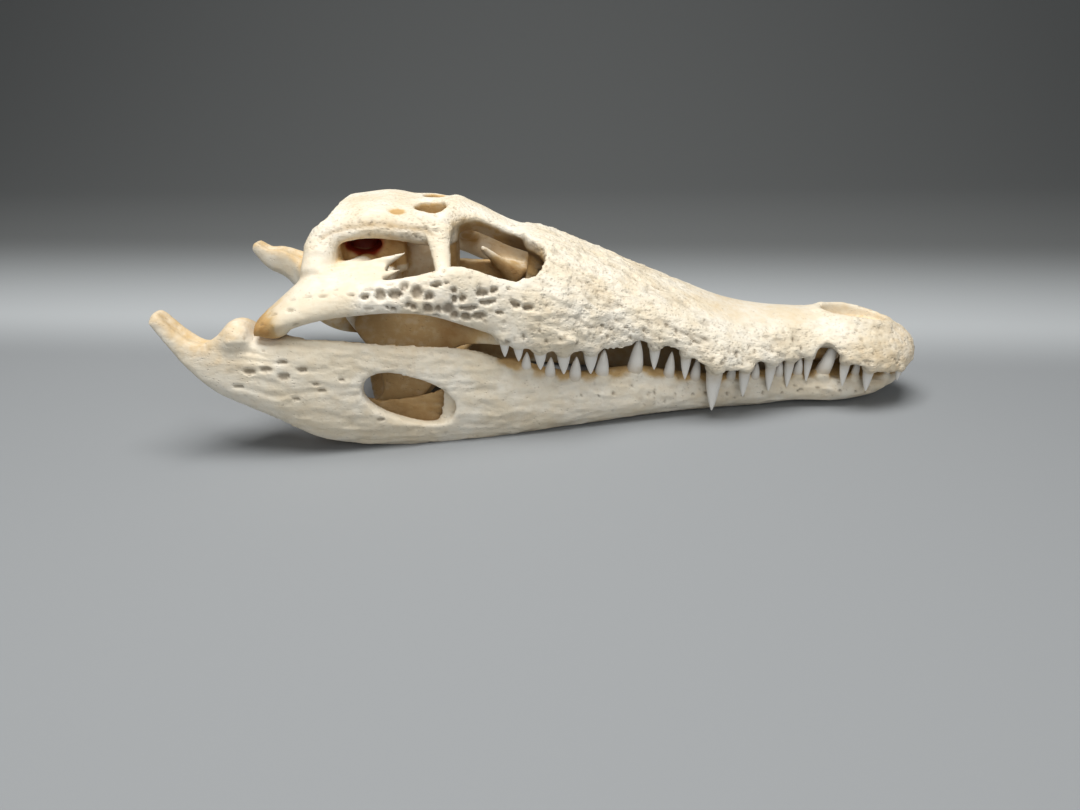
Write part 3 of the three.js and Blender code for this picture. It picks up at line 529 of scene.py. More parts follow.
def jaw_bone():
    """Superellipses from the hooked rear end to the chin, where each is half of a joined section.
    The lower edge is tucked in towards the chin and flared out behind with the cube of the
    nearness to it, and the outer flank is drawn in with the square below two fifths of the height."""
    x = np.concatenate([np.linspace(JAW_END, -84, 60), np.linspace(-82.5, 134, 140), [135, 136, 137]])
    outer = column(jaw_half_width(x))
    inner = mix(column(jaw_inner(x)), -outer, step(column(x), CHIN_REAR, CHIN_REAR + 16))
    low, high = column(jaw_bottom(x)), column(jaw_top(x))
    tuck = mix(-2, 3.2, step(column(x), -20, 60))
    rings = sections(x, -outer, -inner, low, high, 3.0, 72)
    u = (rings[..., 2] - low) / (high - low)
    out = (-rings[..., 1] - inner) / (outer - inner)
    rings[..., 1] += 3.2 * step(out, 0.3, 1) * np.clip(1 - u / 0.42, 0, 1) ** 2
    rings[..., 1] += out * (tuck * (1 - u) ** 3 + 1.6 * u ** 4)
    return skin(rings)


def muscle_space():
    """Trough for the jaw muscles, and the gate through the inner wall: superellipses whose depth
    follows a half sine along the jaw."""
    x = np.linspace(-90, -20, 40)
    u = np.sin(np.pi * (-20 - x) / 70)
    outer = jaw_half_width(x) - 5 - 1.6 * (1 - u)
    inner = mix(outer - 3, jaw_inner(x) + 2.4, np.minimum(1, 1.6 * u))
    trough = skin(sections(x, -outer, -inner, mix(18, 5, u), 62 + 0 * x, 3.2))
    x = np.linspace(-86, -34, 30)
    u = np.sin(np.pi * (-34 - x) / 52)
    gate = skin(sections(x, -jaw_inner(x) - 4, -jaw_inner(x) + 6, 22 - 7 * u, 62 + 0 * x, 3))
    return trough, gate


def upright(surface):
    """A prism along Z laid over, so that its outline lies in x and z and it runs to the right."""
    points, triangles = surface
    x, z, depth = points.T
    return outward(np.stack([x, -depth, z], -1), triangles)


# ---- distances in a grid ------------------------------------------------------


class Growth:
    """Bone that grows as surfaces are added and hollowed out: signed distances to its surface, in mm,
    at the points of a fine grid from low to high."""

    def __init__(self, low, high):
        self.first = np.floor(np.array(low) / VOXEL).astype(int)
        self.last = np.ceil(np.array(high) / VOXEL).astype(int)
        self.d = np.full(self.last - self.first + 1, FAR, np.float32)

    def near(self, surface):
        """The part of the grid near a surface, and the distances to that surface in it."""
        points, triangles = surface
        first = np.maximum(np.floor(points.min(0) / VOXEL).astype(int) - BAND, self.first)
        last = np.minimum(np.ceil(points.max(0) / VOXEL).astype(int) + BAND, self.last)
        level = openvdb.FloatGrid.createLevelSetFromPolygons(
            points.astype(np.float32), triangles=triangles.astype(np.uint32),
            transform=openvdb.createLinearTransform(VOXEL), halfWidth=BAND)
        block = np.empty(last - first + 1, np.float32)
        level.copyToArray(block, ijk=tuple(int(i) for i in first))
        place = tuple(slice(a, b) for a, b in zip(first - self.first, last - self.first + 1))
        return place, block

    def add(self, surface, fillet=1.6):
        """Joins a surface on: the smaller distance, less a quadratic fillet where the two are close."""
        place, d = self.near(surface)
        old = self.d[place]
        close = np.clip(fillet - abs(old - d), 0, None)
        self.d[place] = np.minimum(old, d) - close ** 2 / (4 * fillet)

    def cut(self, surface, fillet=0.8):
        """Takes a surface away: the larger of the distance and the other's negative, rounded alike."""
        place, d = self.near(surface)
        old = self.d[place]
        close = np.clip(fillet - abs(old + d), 0, None)
        self.d[place] = np.maximum(old, -d) + close ** 2 / (4 * fillet)

    def mirror(self):
        """Copies the right side onto the left, across y = 0, which is the grid's last plane."""
        self.d = np.concatenate([self.d, self.d[:, -2::-1]], 1)

    def enclosure(self, reach):
        """How much bone lies around each point: the share of solid within a box, averaged twice."""
        solid = (self.d < 0).astype(np.float32)
        width = 2 * int(reach / VOXEL / 2) + 1
        for axis in (0, 1, 2) * 2:
            edge = [(0, 0)] * 3
            edge[axis] = (width // 2 + 1, width // 2)
            total = np.cumsum(np.pad(solid, edge, mode="edge"), axis=axis, dtype=np.float64)
            ahead = np.take(total, np.arange(width, total.shape[axis]), axis=axis)
            behind = np.take(total, np.arange(0, total.shape[axis] - width), axis=axis)
            solid = ((ahead - behind) / width).astype(np.float32)
        return solid

    def sample(self, values, points):
        """Values of the grid at points in mm, from the nearest grid point."""
        i = np.clip(np.rint(points / VOXEL).astype(int) - self.first, 0, np.array(values.shape) - 1)
        return values[i[:, 0], i[:, 1], i[:, 2]]

    def surface(self):
        """Points and quads of the surface where the distance is nothing."""
        grid = openvdb.FloatGrid(FAR)
        grid.copyFromArray(self.d, ijk=tuple(int(i) for i in self.first))
        grid.transform = openvdb.createLinearTransform(VOXEL)
        points, quads = grid.convertToQuads(0.0)
        return points.astype(float), quads.astype(int)


# ---- teeth --------------------------------------------------------------------


def upper_tooth(s, length, diameter):
    """Root and tip of an upper tooth, which hangs just inside the outer face of the jaw."""
    x = SNOUT_TIP - s
    v = max(half_width(x) - diameter / 2 - 0.6, 4)
    z = plain_tooth_line(x) + TOOTH_ROOT
    return (np.array([x, -v, z]), np.array([x + 0.01 * length, -v + 0.05 * length, z - length - TOOTH_ROOT]),
            diameter / 2)


def lower_tooth(index, s, length, diameter):
    """Root and tip of a lower tooth, which stands on the rim of the jaw and leans forward."""
    x = SNOUT_TIP - s
    v = max(jaw_half_width(x) - diameter / 2 - 1.6, 3)
    z = jaw_top(x) - TOOTH_ROOT
    lean = 0.3 if index == CANINE else 0.1
    return (np.array([x, -v, z]), np.array([x + lean * length, -v - 0.06 * length, z + length + TOOTH_ROOT]),
            diameter / 2)


def tooth(root, tip, radius, extra=0.0, rings=16, sides=20):
    """Curved cone: flattened circles whose radius falls from the root as 1 - u to the power 1.9,
    all to the power 0.75, along a path bowed with u(u - 1)."""
    along = tip - root
    side = np.array([1.0, 0, 0])
    out = np.cross(along, side)
    out /= np.linalg.norm(out)
    u = np.concatenate([[-0.1], np.linspace(0.05, 0.9, rings - 6), [0.94, 0.97, 0.99, 0.998, 1.0]])
    r = radius * np.where(u < 0, 1.0, (1 - np.clip(u, 0, 1) ** 1.9) ** 0.75 + 0.02)
    r = r + extra
    middle = root + column(u) * along + out * column(1.1 * radius * u * (u - 1))
    t = np.linspace(0, 2 * np.pi, sides, endpoint=False)
    grid = (middle[:, None] + side * (column(r) * np.cos(t))[..., None]
            + out * (column(0.86 * r) * np.sin(t))[..., None])
    return skin(grid)


upper_row = [upper_tooth(*t) for t in UPPER_TEETH]
lower_row = [lower_tooth(i, *t) for i, t in enumerate(LOWER_TEETH)]

# ---- growing the bones ----------------------------------------------------------


def socket_swelling(root, tip, radius, depth, sizes):
    """Ball of bone round a tooth, a depth along it from the root and wider by the sizes."""
    place = root + (tip - root) / np.linalg.norm(tip - root) * depth
    return ball(*place, *(radius + size for size in sizes))


def grow_skull():
    """The upper jaw and cranium as one growth."""
    g = Growth((-110, -62, 0), (SNOUT_TIP + 3, 0, 86))
    g.add(face())
    g.add(nostril_rim(), 2.4)
    for tooth_axis in upper_row:
        g.add(socket_swelling(*tooth_axis, TOOTH_ROOT - 0.5, (0.9, 0.6, 0.7)), 1.4)
    g.cut(orbital_hollow(), 2.0)
    g.cut(prism(oval(*ORBIT, 2.4, -0.08), 44, 100), 2.0)
    g.cut(prism(oval(*NOSTRIL, 2.1), 30, 45), 1.4)
    g.add(bar(*((SNOUT_TIP - at, -7.2, 22.6, 2.6, 6) for at in (51, 46, 41, 36, 32))), 1.2)
    for part, fillet in ((cheek_bar(), 3.0), (brow_roof(), 1.6), (skull_table(), 1.6), (braincase(), 3),
                         (occiput(), 2.4), (bar(*SKULL_BASE), 3), (bar(*NECK_KNOB), 1.2),
                         (palatine_keel(), 2.4), (quadrate(), 3.0), (bar(*QUADRATE_ROOT), 3),
                         (bar(*TABLE_CORNER), 3), (bar(*UPPER_SPLINT), 1.0), (bar(*LOWER_SPLINT), 1.0),
                         (bar(*TABLE_EDGE), 0.7), (ear_wall(), 2.0), (ear_floor(), 2.0),
                         (jaw_condyle(), 2.0), (bar(*POSTORBITAL_BAR), 2.4), (bar(*ORBIT_PILLAR), 2.4),
                         (bar(*ORBIT_SPUR), 1.4), (pterygoid_wing(), 2.4), (pterygoid_flange(), 2.0)):
        g.add(part, fillet)
    g.cut(prism(oval(*TABLE_WINDOW, 2.2, -0.1), 68, 100), 1.6)
    g.cut(ball(*TABLE_DIMPLE, 79.6, 3.6, 3.2, 1.6), 1.0)
    g.cut(spine_hole(), 1.0)
    g.cut(prism(oval(-62, 0, 5, 4), 20, 29), 1.0)
    g.cut(ball(EAR[0], -19.5, EAR[1], 6.4, 8.0, 3.0), 0.8)
    for tooth_axis in lower_row:
        g.cut(tooth(*tooth_axis, BONE_GAP), 0.6)
    g.mirror()
    return g


def grow_jaw():
    """The right lower jaw as one growth."""
    g = Growth((JAW_END - 3, -62, -4), (SNOUT_TIP, 0, 60))
    g.add(jaw_bone())
    for tooth_axis in lower_row:
        g.add(socket_swelling(*tooth_axis, TOOTH_ROOT - 0.9, (0.8, 0.5, 0.3)), 1.4)
    shelf = ((x, -(jaw_half_width(x) - 5.4), jaw_top(x) - 0.4, 2.6, 2.5) for x in range(-24, 96, 10))
    g.add(bar(*shelf, count=60), 1.2)
    g.add(bar(*JOINT_SADDLE), 2.4)
    g.add(bar(*SADDLE_RIDGE), 2.4)
    for space in muscle_space():
        g.cut(space, 1.4)
    g.cut(upright(prism(oval(*JAW_WINDOW, 2.3, -0.42), 44, 62)), 1.4)
    g.cut(bar(*HOOK_GROOVE), 1.8)
    g.cut(jaw_condyle(BONE_GAP), 0.8)
    for tooth_axis in upper_row:
        g.cut(tooth(*tooth_axis, BONE_GAP), 0.6)
    return g


# ---- texture of the bone -----------------------------------------------------------


def scramble(cells, seed):
    """Repeatable numbers from 0 to 1 for whole-numbered cells, by multiplying and folding bits."""
    n = cells[..., 0] * 73856093 ^ cells[..., 1] * 19349663 ^ cells[..., 2] * 83492791 ^ seed * 668265263
    n = (n ^ (n >> 13)) & 0xFFFFFFFF
    n = (n * 1274126177) & 0xFFFFFFFF
    n = ((n ^ (n >> 16)) * 2246822519) & 0xFFFFFFFF
    return ((n ^ (n >> 13)) & 0xFFFFFF) / 0x1000000


def noise(points, size, seed):
    """Smooth values from -1 to 1: random numbers at the corners of cells of the given size (one
    length, or one for each axis), blended across each cell with a cubic."""
    p = points / np.asarray(size, float) + 0.37
    cell = np.floor(p).astype(np.int64)
    t = p - cell
    t = t * t * (3 - 2 * t)
    total = 0
    for corner in np.ndindex(2, 2, 2):
        share = np.prod(np.where(corner, t, 1 - t), axis=1)
        total = total + share * scramble(cell + corner, seed)
    return 2 * total - 1


def layered(points, size, seed):
    """Noise and half as much of it at just under half the size."""
    return (noise(points, size, seed) + 0.5 * noise(points, np.asarray(size) * 0.47, seed + 7)) / 1.3


def ridged(points, size, seed):
    """Sharp crests where the noise passes through nothing: 1 there, falling to 0."""
    return 1 - np.minimum(1, 2.2 * abs(noise(points, size, seed)))


def pits(points, size, seed, small, large, share=1.0):
    """Round pits: one in each cell of the given size (one length, or one for each axis), off its
    centre, of a random radius from small to large times the cell. Each is a bowl with a flat
    bottom, 1 deep; only a share of the cells has one. The deepest counts."""
    p = points / np.asarray(size, float)
    cell = np.floor(p).astype(np.int64)
    deepest = np.zeros(len(points))
    for offset in np.ndindex(3, 3, 3):
        here = cell + np.array(offset) - 1
        centre = here + 0.5 + 0.8 * (np.stack([scramble(here, seed + i) for i in range(3)], -1) - 0.5)
        radius = mix(small, large, scramble(here, seed + 3))
        bowl = 1 - ((p - centre) ** 2).sum(1) / radius ** 2
        deepest = np.maximum(deepest, step(bowl, 0, 0.55) * (scramble(here, seed + 4) < share))
    return deepest


def placed_pits(x, z, table):
    """Oval bowls with flat bottoms at the places and half-axes of a table; the deepest counts."""
    deepest = 0 * x
    for at_x, at_z, long, high in table:
        bowl = 1 - ((x - at_x) / long) ** 2 - ((z - at_z) / high) ** 2
        deepest = np.maximum(deepest, step(bowl, -0.15, 0.5))
    return deepest


def hole_row(x, height, spacing, level, scatter, seed):
    """A row of small nerve holes along the jaw: in each length of spacing, a bowl about half a
    millimetre wide, scattered about a level above the edge of the jaw."""
    at = np.floor(x / spacing).astype(np.int64)
    cell = np.stack([at, 0 * at, 0 * at], -1)
    along, rise, size = (scramble(cell, seed + i) for i in range(3))
    off = np.hypot(x - (at + 0.25 + 0.5 * along) * spacing, height - level - scatter * (2 * rise - 1))
    return 1 - step(off, 0.2 + 0.3 * size, 0.65 + 0.35 * size)


# ---- meshes ---------------------------------------------------------------------


def make_piece(name, points, faces, material):
    """A mesh object at the origin, from points in mm and an array of faces."""
    mesh = bpy.data.meshes.new(name)
    count, sides = faces.shape
    mesh.vertices.add(len(points))
    mesh.vertices.foreach_set("co", (points * MM).astype(np.float32).ravel())
    mesh.loops.add(count * sides)
    mesh.loops.foreach_set("vertex_index", faces.astype(np.int32).ravel())
    mesh.polygons.add(count)
    mesh.polygons.foreach_set("loop_start", np.arange(0, count * sides, sides, dtype=np.int32))
    mesh.update(calc_edges=True)
    mesh.validate()
    mesh.shade_smooth()
    mesh.materials.append(material)
    piece = bpy.data.objects.new(name, mesh)
    bpy.context.scene.collection.objects.link(piece)
    return piece


def gathered(values, quads, count):
    """For each of count points, the sum of the values of the quads around it."""
    corners, repeated = quads.ravel(), np.repeat(values, 4, axis=0)
    return np.stack([np.bincount(corners, repeated[:, i], count) for i in range(3)], -1)


def normals(points, quads):
    """Unit normals at the points: the sum of the crossed diagonals of the quads around each."""
    a, b, c, d = (points[quads[:, i]] for i in range(4))
    total = gathered(np.cross(c - a, d - b), quads, len(points))
    return total / np.maximum(np.linalg.norm(total, axis=1, keepdims=True), 1e-9)


def relaxed(points, quads, rounds=3):
    """Points drawn halfway to the mean centre of the quads around them, some rounds over."""
    number = np.maximum(np.bincount(quads.ravel(), minlength=len(points))[:, None], 1)
    for _ in range(rounds):
        centres = points[quads].mean(1)
        points = mix(points, gathered(centres, quads, len(points)) / number, 0.5)
    return points


def oval_share(a, b, centre, half, low, high, wobble=0.0):
    """1 inside an oval and 0 outside it: its distance in half-axes, from low to high."""
    return 1 - step(np.hypot((a - centre[0]) / half[0], (b - centre[1]) / half[1]) + wobble, low, high)


def drift(points, size, seed):
    """Noise of its own along each axis."""
    return np.stack([noise(points, size, seed + i) for i in range(3)], -1)


def skull_regions(points, normal, growth):
    """Shares from 0 to 1 that mark the regions of the skull, from the place of each point, the way it
    faces and how much bone lies around it."""
    x, y, z = points.T
    side = normal[:, 1] * np.sign(y)
    up = normal[:, 2]
    high = top_line(x)
    low = tooth_line(x)
    edge_in = half_width(x) - abs(y)
    r = SimpleNamespace(level=(z - low) / (high - low))
    r.closed = growth.sample(growth.enclosure(9), points)
    r.tight = growth.sample(growth.enclosure(4), points)
    outer = step(side + 0.7 * up, 0.0, 0.35) * (1 - step(r.closed, 0.56, 0.66))
    r.cheek = (window(x, -72, -12, 9) * step(cheek_top(x) - z, -1, 2) * (1 - step(edge_in, 6, 9))
               * outer)
    r.brow = window(x, -46, 14, 8) * step(up, 0.2, 0.6) * step(z - high, -9, -5) * outer
    window_wall = (oval_share(x, -abs(y), TABLE_WINDOW, (6, 7.4), 0.95, 1.12)
                   * (1 - step(z - high, -1.6, -0.4)))
    dimple = oval_share(x, -abs(y), TABLE_DIMPLE, (3.4, 3.6), 0.6, 1.1)
    r.windows = (window_wall + dimple) * step(z, 64, 68)
    outer = outer * (1 - np.clip(r.windows, 0, 1))
    r.outer = outer
    r.table = window(x, -96, -42, 5) * step(z, 66, 71) * outer * step(up + 0.8 * side, 0.2, 0.5)
    r.maxilla = window(x, -8, 92, 10) * outer
    r.nose = step(x, 40, 70) * step(r.level, 0.72, 0.95)
    r.snout = step(x, 88, 104) * outer
    r.ramp = (window(x, -104, -62, 4) * step(side + up, 0.2, 0.5) * outer * (1 - r.table)
              * step(edge_in, 4, 9))
    r.hinge = window(x, -102, -60, 8) * outer * (1 - step(edge_in, 5, 9))
    r.sides = r.maxilla * (1 - r.nose) * (1 - 0.6 * r.snout)
    r.tail = 1 - step(x, 16, 44)
    r.low_tail = r.tail * (1 - step(r.level, 0.2, 0.45))
    r.rim_band = (window(x, -86, -38, 4) * bump(abs(y), table_half_width(x) - 1.5, 3) * outer
                  * step(z, 66, 70))
    r.groove = (window(x, -84, -48, 4) * bump(z, profile(TABLE_GROOVE)(x), 0.9)
                * step(abs(y), 22, 25) * step(side, 0.2, 0.6))
    r.palate = window(x, -82, 10, 6) * (1 - step(z, 46, 52)) * step(edge_in, 6, 9)
    r.joint = step(-x, 94, 101) * (1 - step(z, 47, 53))
    r.orbit_corner = bump(x, -16.5, 5) * bump(z, 56.5, 5) * window(abs(y), 0, 33, 3)
    r.canine_recess = bump(SNOUT_TIP - x, 41, 6) * step(edge_in, 5, 7.5) * (1 - step(z, 27, 30))
    r.mouth = window(x, -20, 122, 6) * step(-up, 0.2, 0.6) * step(edge_in, 1.5, 4)
    r.orbit = (window(x, -44, 4, 4) * step(edge_in, 4, 7) * (1 - step(z - high, -3.6, -1.8))
               * (1 - step(up, 0.3, 0.7)))
    r.within = window(x, -64, -38, 3) * (1 - step(abs(y), 15, 19)) * window(z, 35, 71, 3)
    # the ear opening, painted dark red as its shade
    r.ear = (oval_share(x, z, EAR, (7.6, 4.2), 0.78, 1.08, 0.12 * noise(points, 2.5, 97))
             * window(abs(y), 2, 23, 1.5))
    r.ear_recess = window(x, -86, -50, 4) * window(abs(y), 12, 25, 2) * window(z, 60, 71.5, 1.5)
    r.underside = step(-up, 0.1, 0.6) * step(z, 50, 56)
    return r


def skull_textures(points, level):
    """Pits, wrinkles, waves and grain of the skull at each point; the waves and wrinkles run down
    towards the teeth."""
    x, _, z = points.T
    warp = points + 1.6 * drift(points, 5, 11)
    slanted = warp @ np.array([[0.94, 0, 0.34], [0, 1, 0], [-0.34, 0, 0.94]])
    loose = mix(points, warp, 0.35)
    height = z - tooth_line(x)
    t = SimpleNamespace()
    t.big = np.maximum(placed_pits(loose[:, 0], loose[:, 2], CHEEK_PITS),
                       pits(warp, (4.2, 3.8, 3.4), 21, 0.12, 0.3, 0.55))
    t.mid = pits(warp, 2.6, 31, 0.16, 0.4, 0.8)
    t.fine = pits(points, 1.9, 41, 0.16, 0.36, 0.8)
    t.slots = pits(warp, (7.5, 2.6, 2.0), 51, 0.16, 0.36, 0.6)
    t.wrinkle = ridged(slanted, (7.0, 2.3, 1.9), 61)
    t.waves = layered(slanted, (7.5, 2.2, 1.8), 62)
    t.crease = step(t.waves, 0.18, 0.6)
    t.lines = step(ridged(slanted, (9, 2.6, 2.1), 63), 0.5, 0.95) * step(noise(points, 5, 64), -0.5, 0.3)
    t.knobs = layered(warp, (2.6, 2.0, 1.7), 71)
    t.stipple = window(x, 14, 66, 8) * (1 - step(level, 0.35, 0.6)) + 0.8 * step(x, 96, 112)
    t.swell = layered(points, 7, 81)
    t.streak = layered(points, (9, 1.1, 1.1), 91)
    t.holes = hole_row(x, height, 6.1, 4.6, 1.3, 85) + 0.8 * hole_row(x, height, 4.7, 8.5, 2.2, 86)
    t.sockets = sum(bump(x, SNOUT_TIP - s, 0.55 * d) for s, _, d in UPPER_TEETH) * bump(level, 0.08, 0.22)
    return t


def skull_depth(r, t):
    """Depth in mm to sink the surface by: the sum of what each region has."""
    wrinkled = (0.25 * (1 - t.wrinkle) + 0.3 * t.waves + 0.45 * t.crease) * (1 - 0.65 * r.low_tail)
    knobbly = 0.28 * t.knobs * (0.4 + t.stipple) * (1 - 0.8 * r.tail)
    sides = (wrinkled + 0.22 * t.lines + 0.42 * r.tail * t.streak - knobbly
             + 0.5 * t.stipple * t.fine + 0.6 * t.holes)
    swollen = 0.35 * t.swell * (r.sides * (1 - 0.6 * r.low_tail) + 0.4 * r.brow)
    return (r.cheek * (1.7 * t.big + 0.4 * t.mid) + r.brow * (0.55 * t.mid + 0.35 * t.fine)
            + r.table * (0.3 * t.mid + 0.4 * t.fine) + r.sides * sides
            + r.snout * (0.5 * t.fine - 0.4 * t.knobs + 0.3 * t.crease)
            + r.maxilla * r.nose * 0.08 * t.fine + r.hinge * 0.5 * t.slots + r.ramp * 0.1 * t.streak
            + r.rim_band * 0.3 * t.fine + 0.6 * r.groove - swollen - 0.45 * t.sockets * r.outer)


def skull_shade(points, r, t):
    """Share of brown painted shade in pits, creases, holes and hidden places: between the jaws, on the
    palate, at the jaw joint and in the groove, and a darker speckled band along the table's rim.
    """
    sides = 0.6 * t.stipple * t.fine + 0.38 * t.crease * (1 - 0.6 * r.low_tail) + 0.2 * t.lines
    return np.clip(r.cheek * (1.0 * t.big + 0.45 * t.mid) + r.brow * (0.45 * t.mid + 0.3 * t.fine)
                   + r.table * (0.2 * t.mid + 0.35 * t.fine) + r.sides * (sides + 0.9 * t.holes)
                   + r.snout * 0.5 * t.fine + r.hinge * 0.7 * t.slots
                   + r.rim_band * (0.2 + 0.4 * t.fine + 0.3 * t.mid) + 0.9 * r.mouth + 0.3 * r.palate
                   + 0.4 * r.joint * step(noise(points, 3, 98), 0, 0.6) + 0.35 * r.groove, 0, 1)


def skull_stain_and_shade(points, r):
    """Honey from 0 to 2, up to 1 and deeper beyond. It is real stain at the ends, on the nose, in the
    windows and at the orbit's front corner; painted shade in closed places, on the palate, in the groove, at
    the jaw joint and on faces that look down; and both in the orbit, the braincase, the ear recess and the
    canine's recess."""
    x = points[:, 0]
    # Honey as painted shade where bone closes round a point; real stain at the ends.
    stain = np.clip(1.2 * step(r.closed, 0.5, 0.72) + 0.8 * step(-x, 92, 102) + 0.35 * step(x, 100, 130)
                    + 0.5 * step(r.tight, 0.62, 0.8), 0, 1)
    # Honey as painted shade on the palate, at the joint and on faces that look down; stain and painted shade
    # both in the orbit, braincase and canine recess.
    stain = np.clip(stain + 0.25 * layered(points, 14, 95) + 1.4 * r.palate + 0.35 * r.maxilla * r.nose
                    + 0.45 * r.within + 0.75 * r.orbit * (0.7 + layered(points, 9, 96))
                    + 1.5 * (r.windows + r.orbit_corner + r.joint) + 1.7 * r.canine_recess
                    + 0.6 * r.underside, 0, 2)
    # Ear recess: stain and painted shade; groove: painted shade.
    return np.clip(stain + 1.8 * r.ear_recess + 0.6 * r.groove, 0, 2)


def carve_skull(points, normal, growth):
    """Depths to sink the skull's surface by, and the shares that its material reads."""
    r = skull_regions(points, normal, growth)
    t = skull_textures(points, r.level)
    rough = np.clip(r.sides + 0.8 * r.snout + r.brow + r.table + 0.5 * r.cheek, 0, 1) * r.outer
    return skull_depth(r, t), {"pit_shade": skull_shade(points, r, t), "stain": skull_stain_and_shade(points, r),
                               "dark_stain": r.ear, "rough": rough}


def carve_jaw(points, normal, growth, flip):
    """The same for a lower jaw bone, with streaks along it; flip is -1 on the left."""
    x, y, z = points.T
    side = normal[:, 1] * np.sign(y)
    up = normal[:, 2]
    edge_in = jaw_half_width(x) - abs(y)
    closed = growth.sample(growth.enclosure(9), points * (1, flip, 1))
    outer = step(side + 0.3 * up, 0.1, 0.4) * (1 - step(closed, 0.58, 0.68))
    warp = points @ np.array([[1, 0, 0.12], [0, 1, 0], [-0.12, 0, 1]]) + 1.2 * drift(points, 7, 111)
    streak = layered(warp, (14, 1.5, 1.3), 121)
    slots = np.maximum(placed_pits(x, z, JAW_PITS), pits(warp, (8, 4.0, 3.4), 131, 0.1, 0.24, 0.35))
    rear = window(x, -112, -62, 10) * window(z, 16, 38, 6)
    low_rear = window(x, -100, -30, 10) * (1 - step(z, 14, 20))
    slots *= 0.9 * rear + 0.6 * low_rear
    holes = pits(points, (4.5, 3.0, 3.0), 141, 0.1, 0.24, 0.5)
    nerve = hole_row(x, jaw_top(x) - z, 7.3, 5.5, 1.5, 161) * window(x, 0, 128, 6)
    front = step(x, 20, 50)
    depth = (outer * (0.5 * streak * (1 - 0.7 * step(-x, 108, 118)) + slots + (0.2 + 0.3 * front) * holes
                      + 0.8 * nerve) + 0.15 * layered(points, 9, 151))
    hook = step(-x, 104, 116) * step(up, 0.0, 0.6)
    trough = step(edge_in, 4.5, 7) * window(x, -96, -16, 4) * window(z, 5, 36, 3)
    inner = (1 - step(side, -0.6, 0.0)) * (1 - step(-x, 112, 120))
    inner_rear = inner * window(x, -90, -20, 6)
    gum = window(x, -24, 134, 3) * step(z - jaw_top(x), -2.6, -0.6) * step(edge_in, 1.6, 3)
    # Brown painted shade in slots, holes and streak grooves, low on the jaw where its shadow falls, on the
    # inner rear face and in the trough.
    shade = np.clip(outer * (slots + (0.3 + 0.5 * front) * holes + 0.9 * nerve
                             + 0.15 * step(streak, 0.2, 0.7) + 0.14 * (1 - step(z, 3, 15)))
                    + 0.3 * inner_rear + 0.2 * trough, 0, 1)
    # Honey: real stain on the hook; painted shade in closed places, on the inner face and in the trough;
    # both at the gum.
    stain = np.clip(0.8 * hook + 0.9 * step(closed, 0.54, 0.72) + inner + 1.5 * gum
                    + 0.5 * inner_rear + 1.6 * trough + 0.2 * layered(points, 14, 155), 0, 2)
    return depth, {"pit_shade": shade, "stain": stain, "dark_stain": 0 * x, "rough": 0.25 * outer}


def finish_bone(names, points, quads, carve, material, seam=None):
    """Sinks the texture along the normals and keeps the shades as attributes. With a seam, two pieces
    come of it, before and behind that x, which share their normals along it."""
    normal = normals(points, quads)
    depth, shades = carve(points, normal)
    points = points - normal * depth[:, None]
    normal = normals(points, quads)
    ahead = points[quads, 0].mean(1) > (-np.inf if seam is None else seam)
    pieces = []
    for name, mine in zip(names, (ahead, ~ahead)):
        used, corners = np.unique(quads[mine], return_inverse=True)
        piece = make_piece(name, points[used], corners.reshape(-1, 4), material)
        piece.data.normals_split_custom_set_from_vertices(normal[used])
        for key, value in shades.items():
            layer = piece.data.attributes.new(key, "FLOAT", "POINT")
            layer.data.foreach_set("value", value[used].astype(np.float32))
        pieces.append(piece)
    return pieces


# ---- materials --------------------------------------------------------------------


class Socket:
    """A node's output that takes part in Python expressions; each operator adds its Math node."""

    def __init__(self, tree, socket):
        self.tree = tree
        self.socket = socket

    def node(self, kind, settings=None, **inputs):
        """A node of a type, its settings, then the values or links of its sockets by name."""
        made = self.tree.nodes.new(kind)
        for key, value in (settings or {}).items():
            setattr(made, key, value)
        for key, value in inputs.items():
            name = key.replace("_", " ")
            place = made.inputs[int(key[1:])] if key[0] == "i" and key[1:].isdigit() else made.inputs[name]
            if isinstance(value, Socket):
                self.tree.links.new(value.socket, place)
            else:
                place.default_value = value
        return made

    def wrap(self, socket):
        return Socket(self.tree, socket)

    def math(self, operation, *values, clamp=False):
        made = self.node("ShaderNodeMath", {"operation": operation, "use_clamp": clamp},
                         **{f"i{i}": v for i, v in enumerate(values)})
        return self.wrap(made.outputs[0])

    def __add__(self, other):
        return self.math("ADD", self, other)

    __radd__ = __add__

    def __mul__(self, other):
        return self.math("MULTIPLY", self, other)

    __rmul__ = __mul__

    def __sub__(self, other):
        return self.math("SUBTRACT", self, other)

    def __rsub__(self, other):
        return self.math("SUBTRACT", other, self)

    def clamped(self):
        return self.math("ADD", self, 0.0, clamp=True)

    def ramp(self, low, high):
        """0 below low and 1 above high, smoothly."""
        made = self.node("ShaderNodeMapRange", {"interpolation_type": "SMOOTHSTEP"}, Value=self,
                         From_Min=low, From_Max=high)
        return self.wrap(made.outputs["Result"])

    def colour_mix(self, first, second):
        """A colour between two, by this share."""
        made = self.node("ShaderNodeMix", {"data_type": "RGBA"}, i0=self, i6=first, i7=second)
        return self.wrap(made.outputs[2])


def start_material(name):
    """A new material, its nodes, its object coordinates and its shader."""
    material = bpy.data.materials.new(name)
    material.use_nodes = True
    tree = material.node_tree
    place = tree.nodes.new("ShaderNodeTexCoord")
    return material, tree, Socket(tree, place.outputs["Object"]), tree.nodes["Principled BSDF"]


def in_cells(place, size, stretch):
    """Object coordinates in cells of size mm, longer where stretch is larger."""
    made = place.node("ShaderNodeVectorMath", {"operation": "MULTIPLY"}, i0=place,
                      i1=tuple(1 / (size * MM * k) for k in stretch))
    return place.wrap(made.outputs[0])


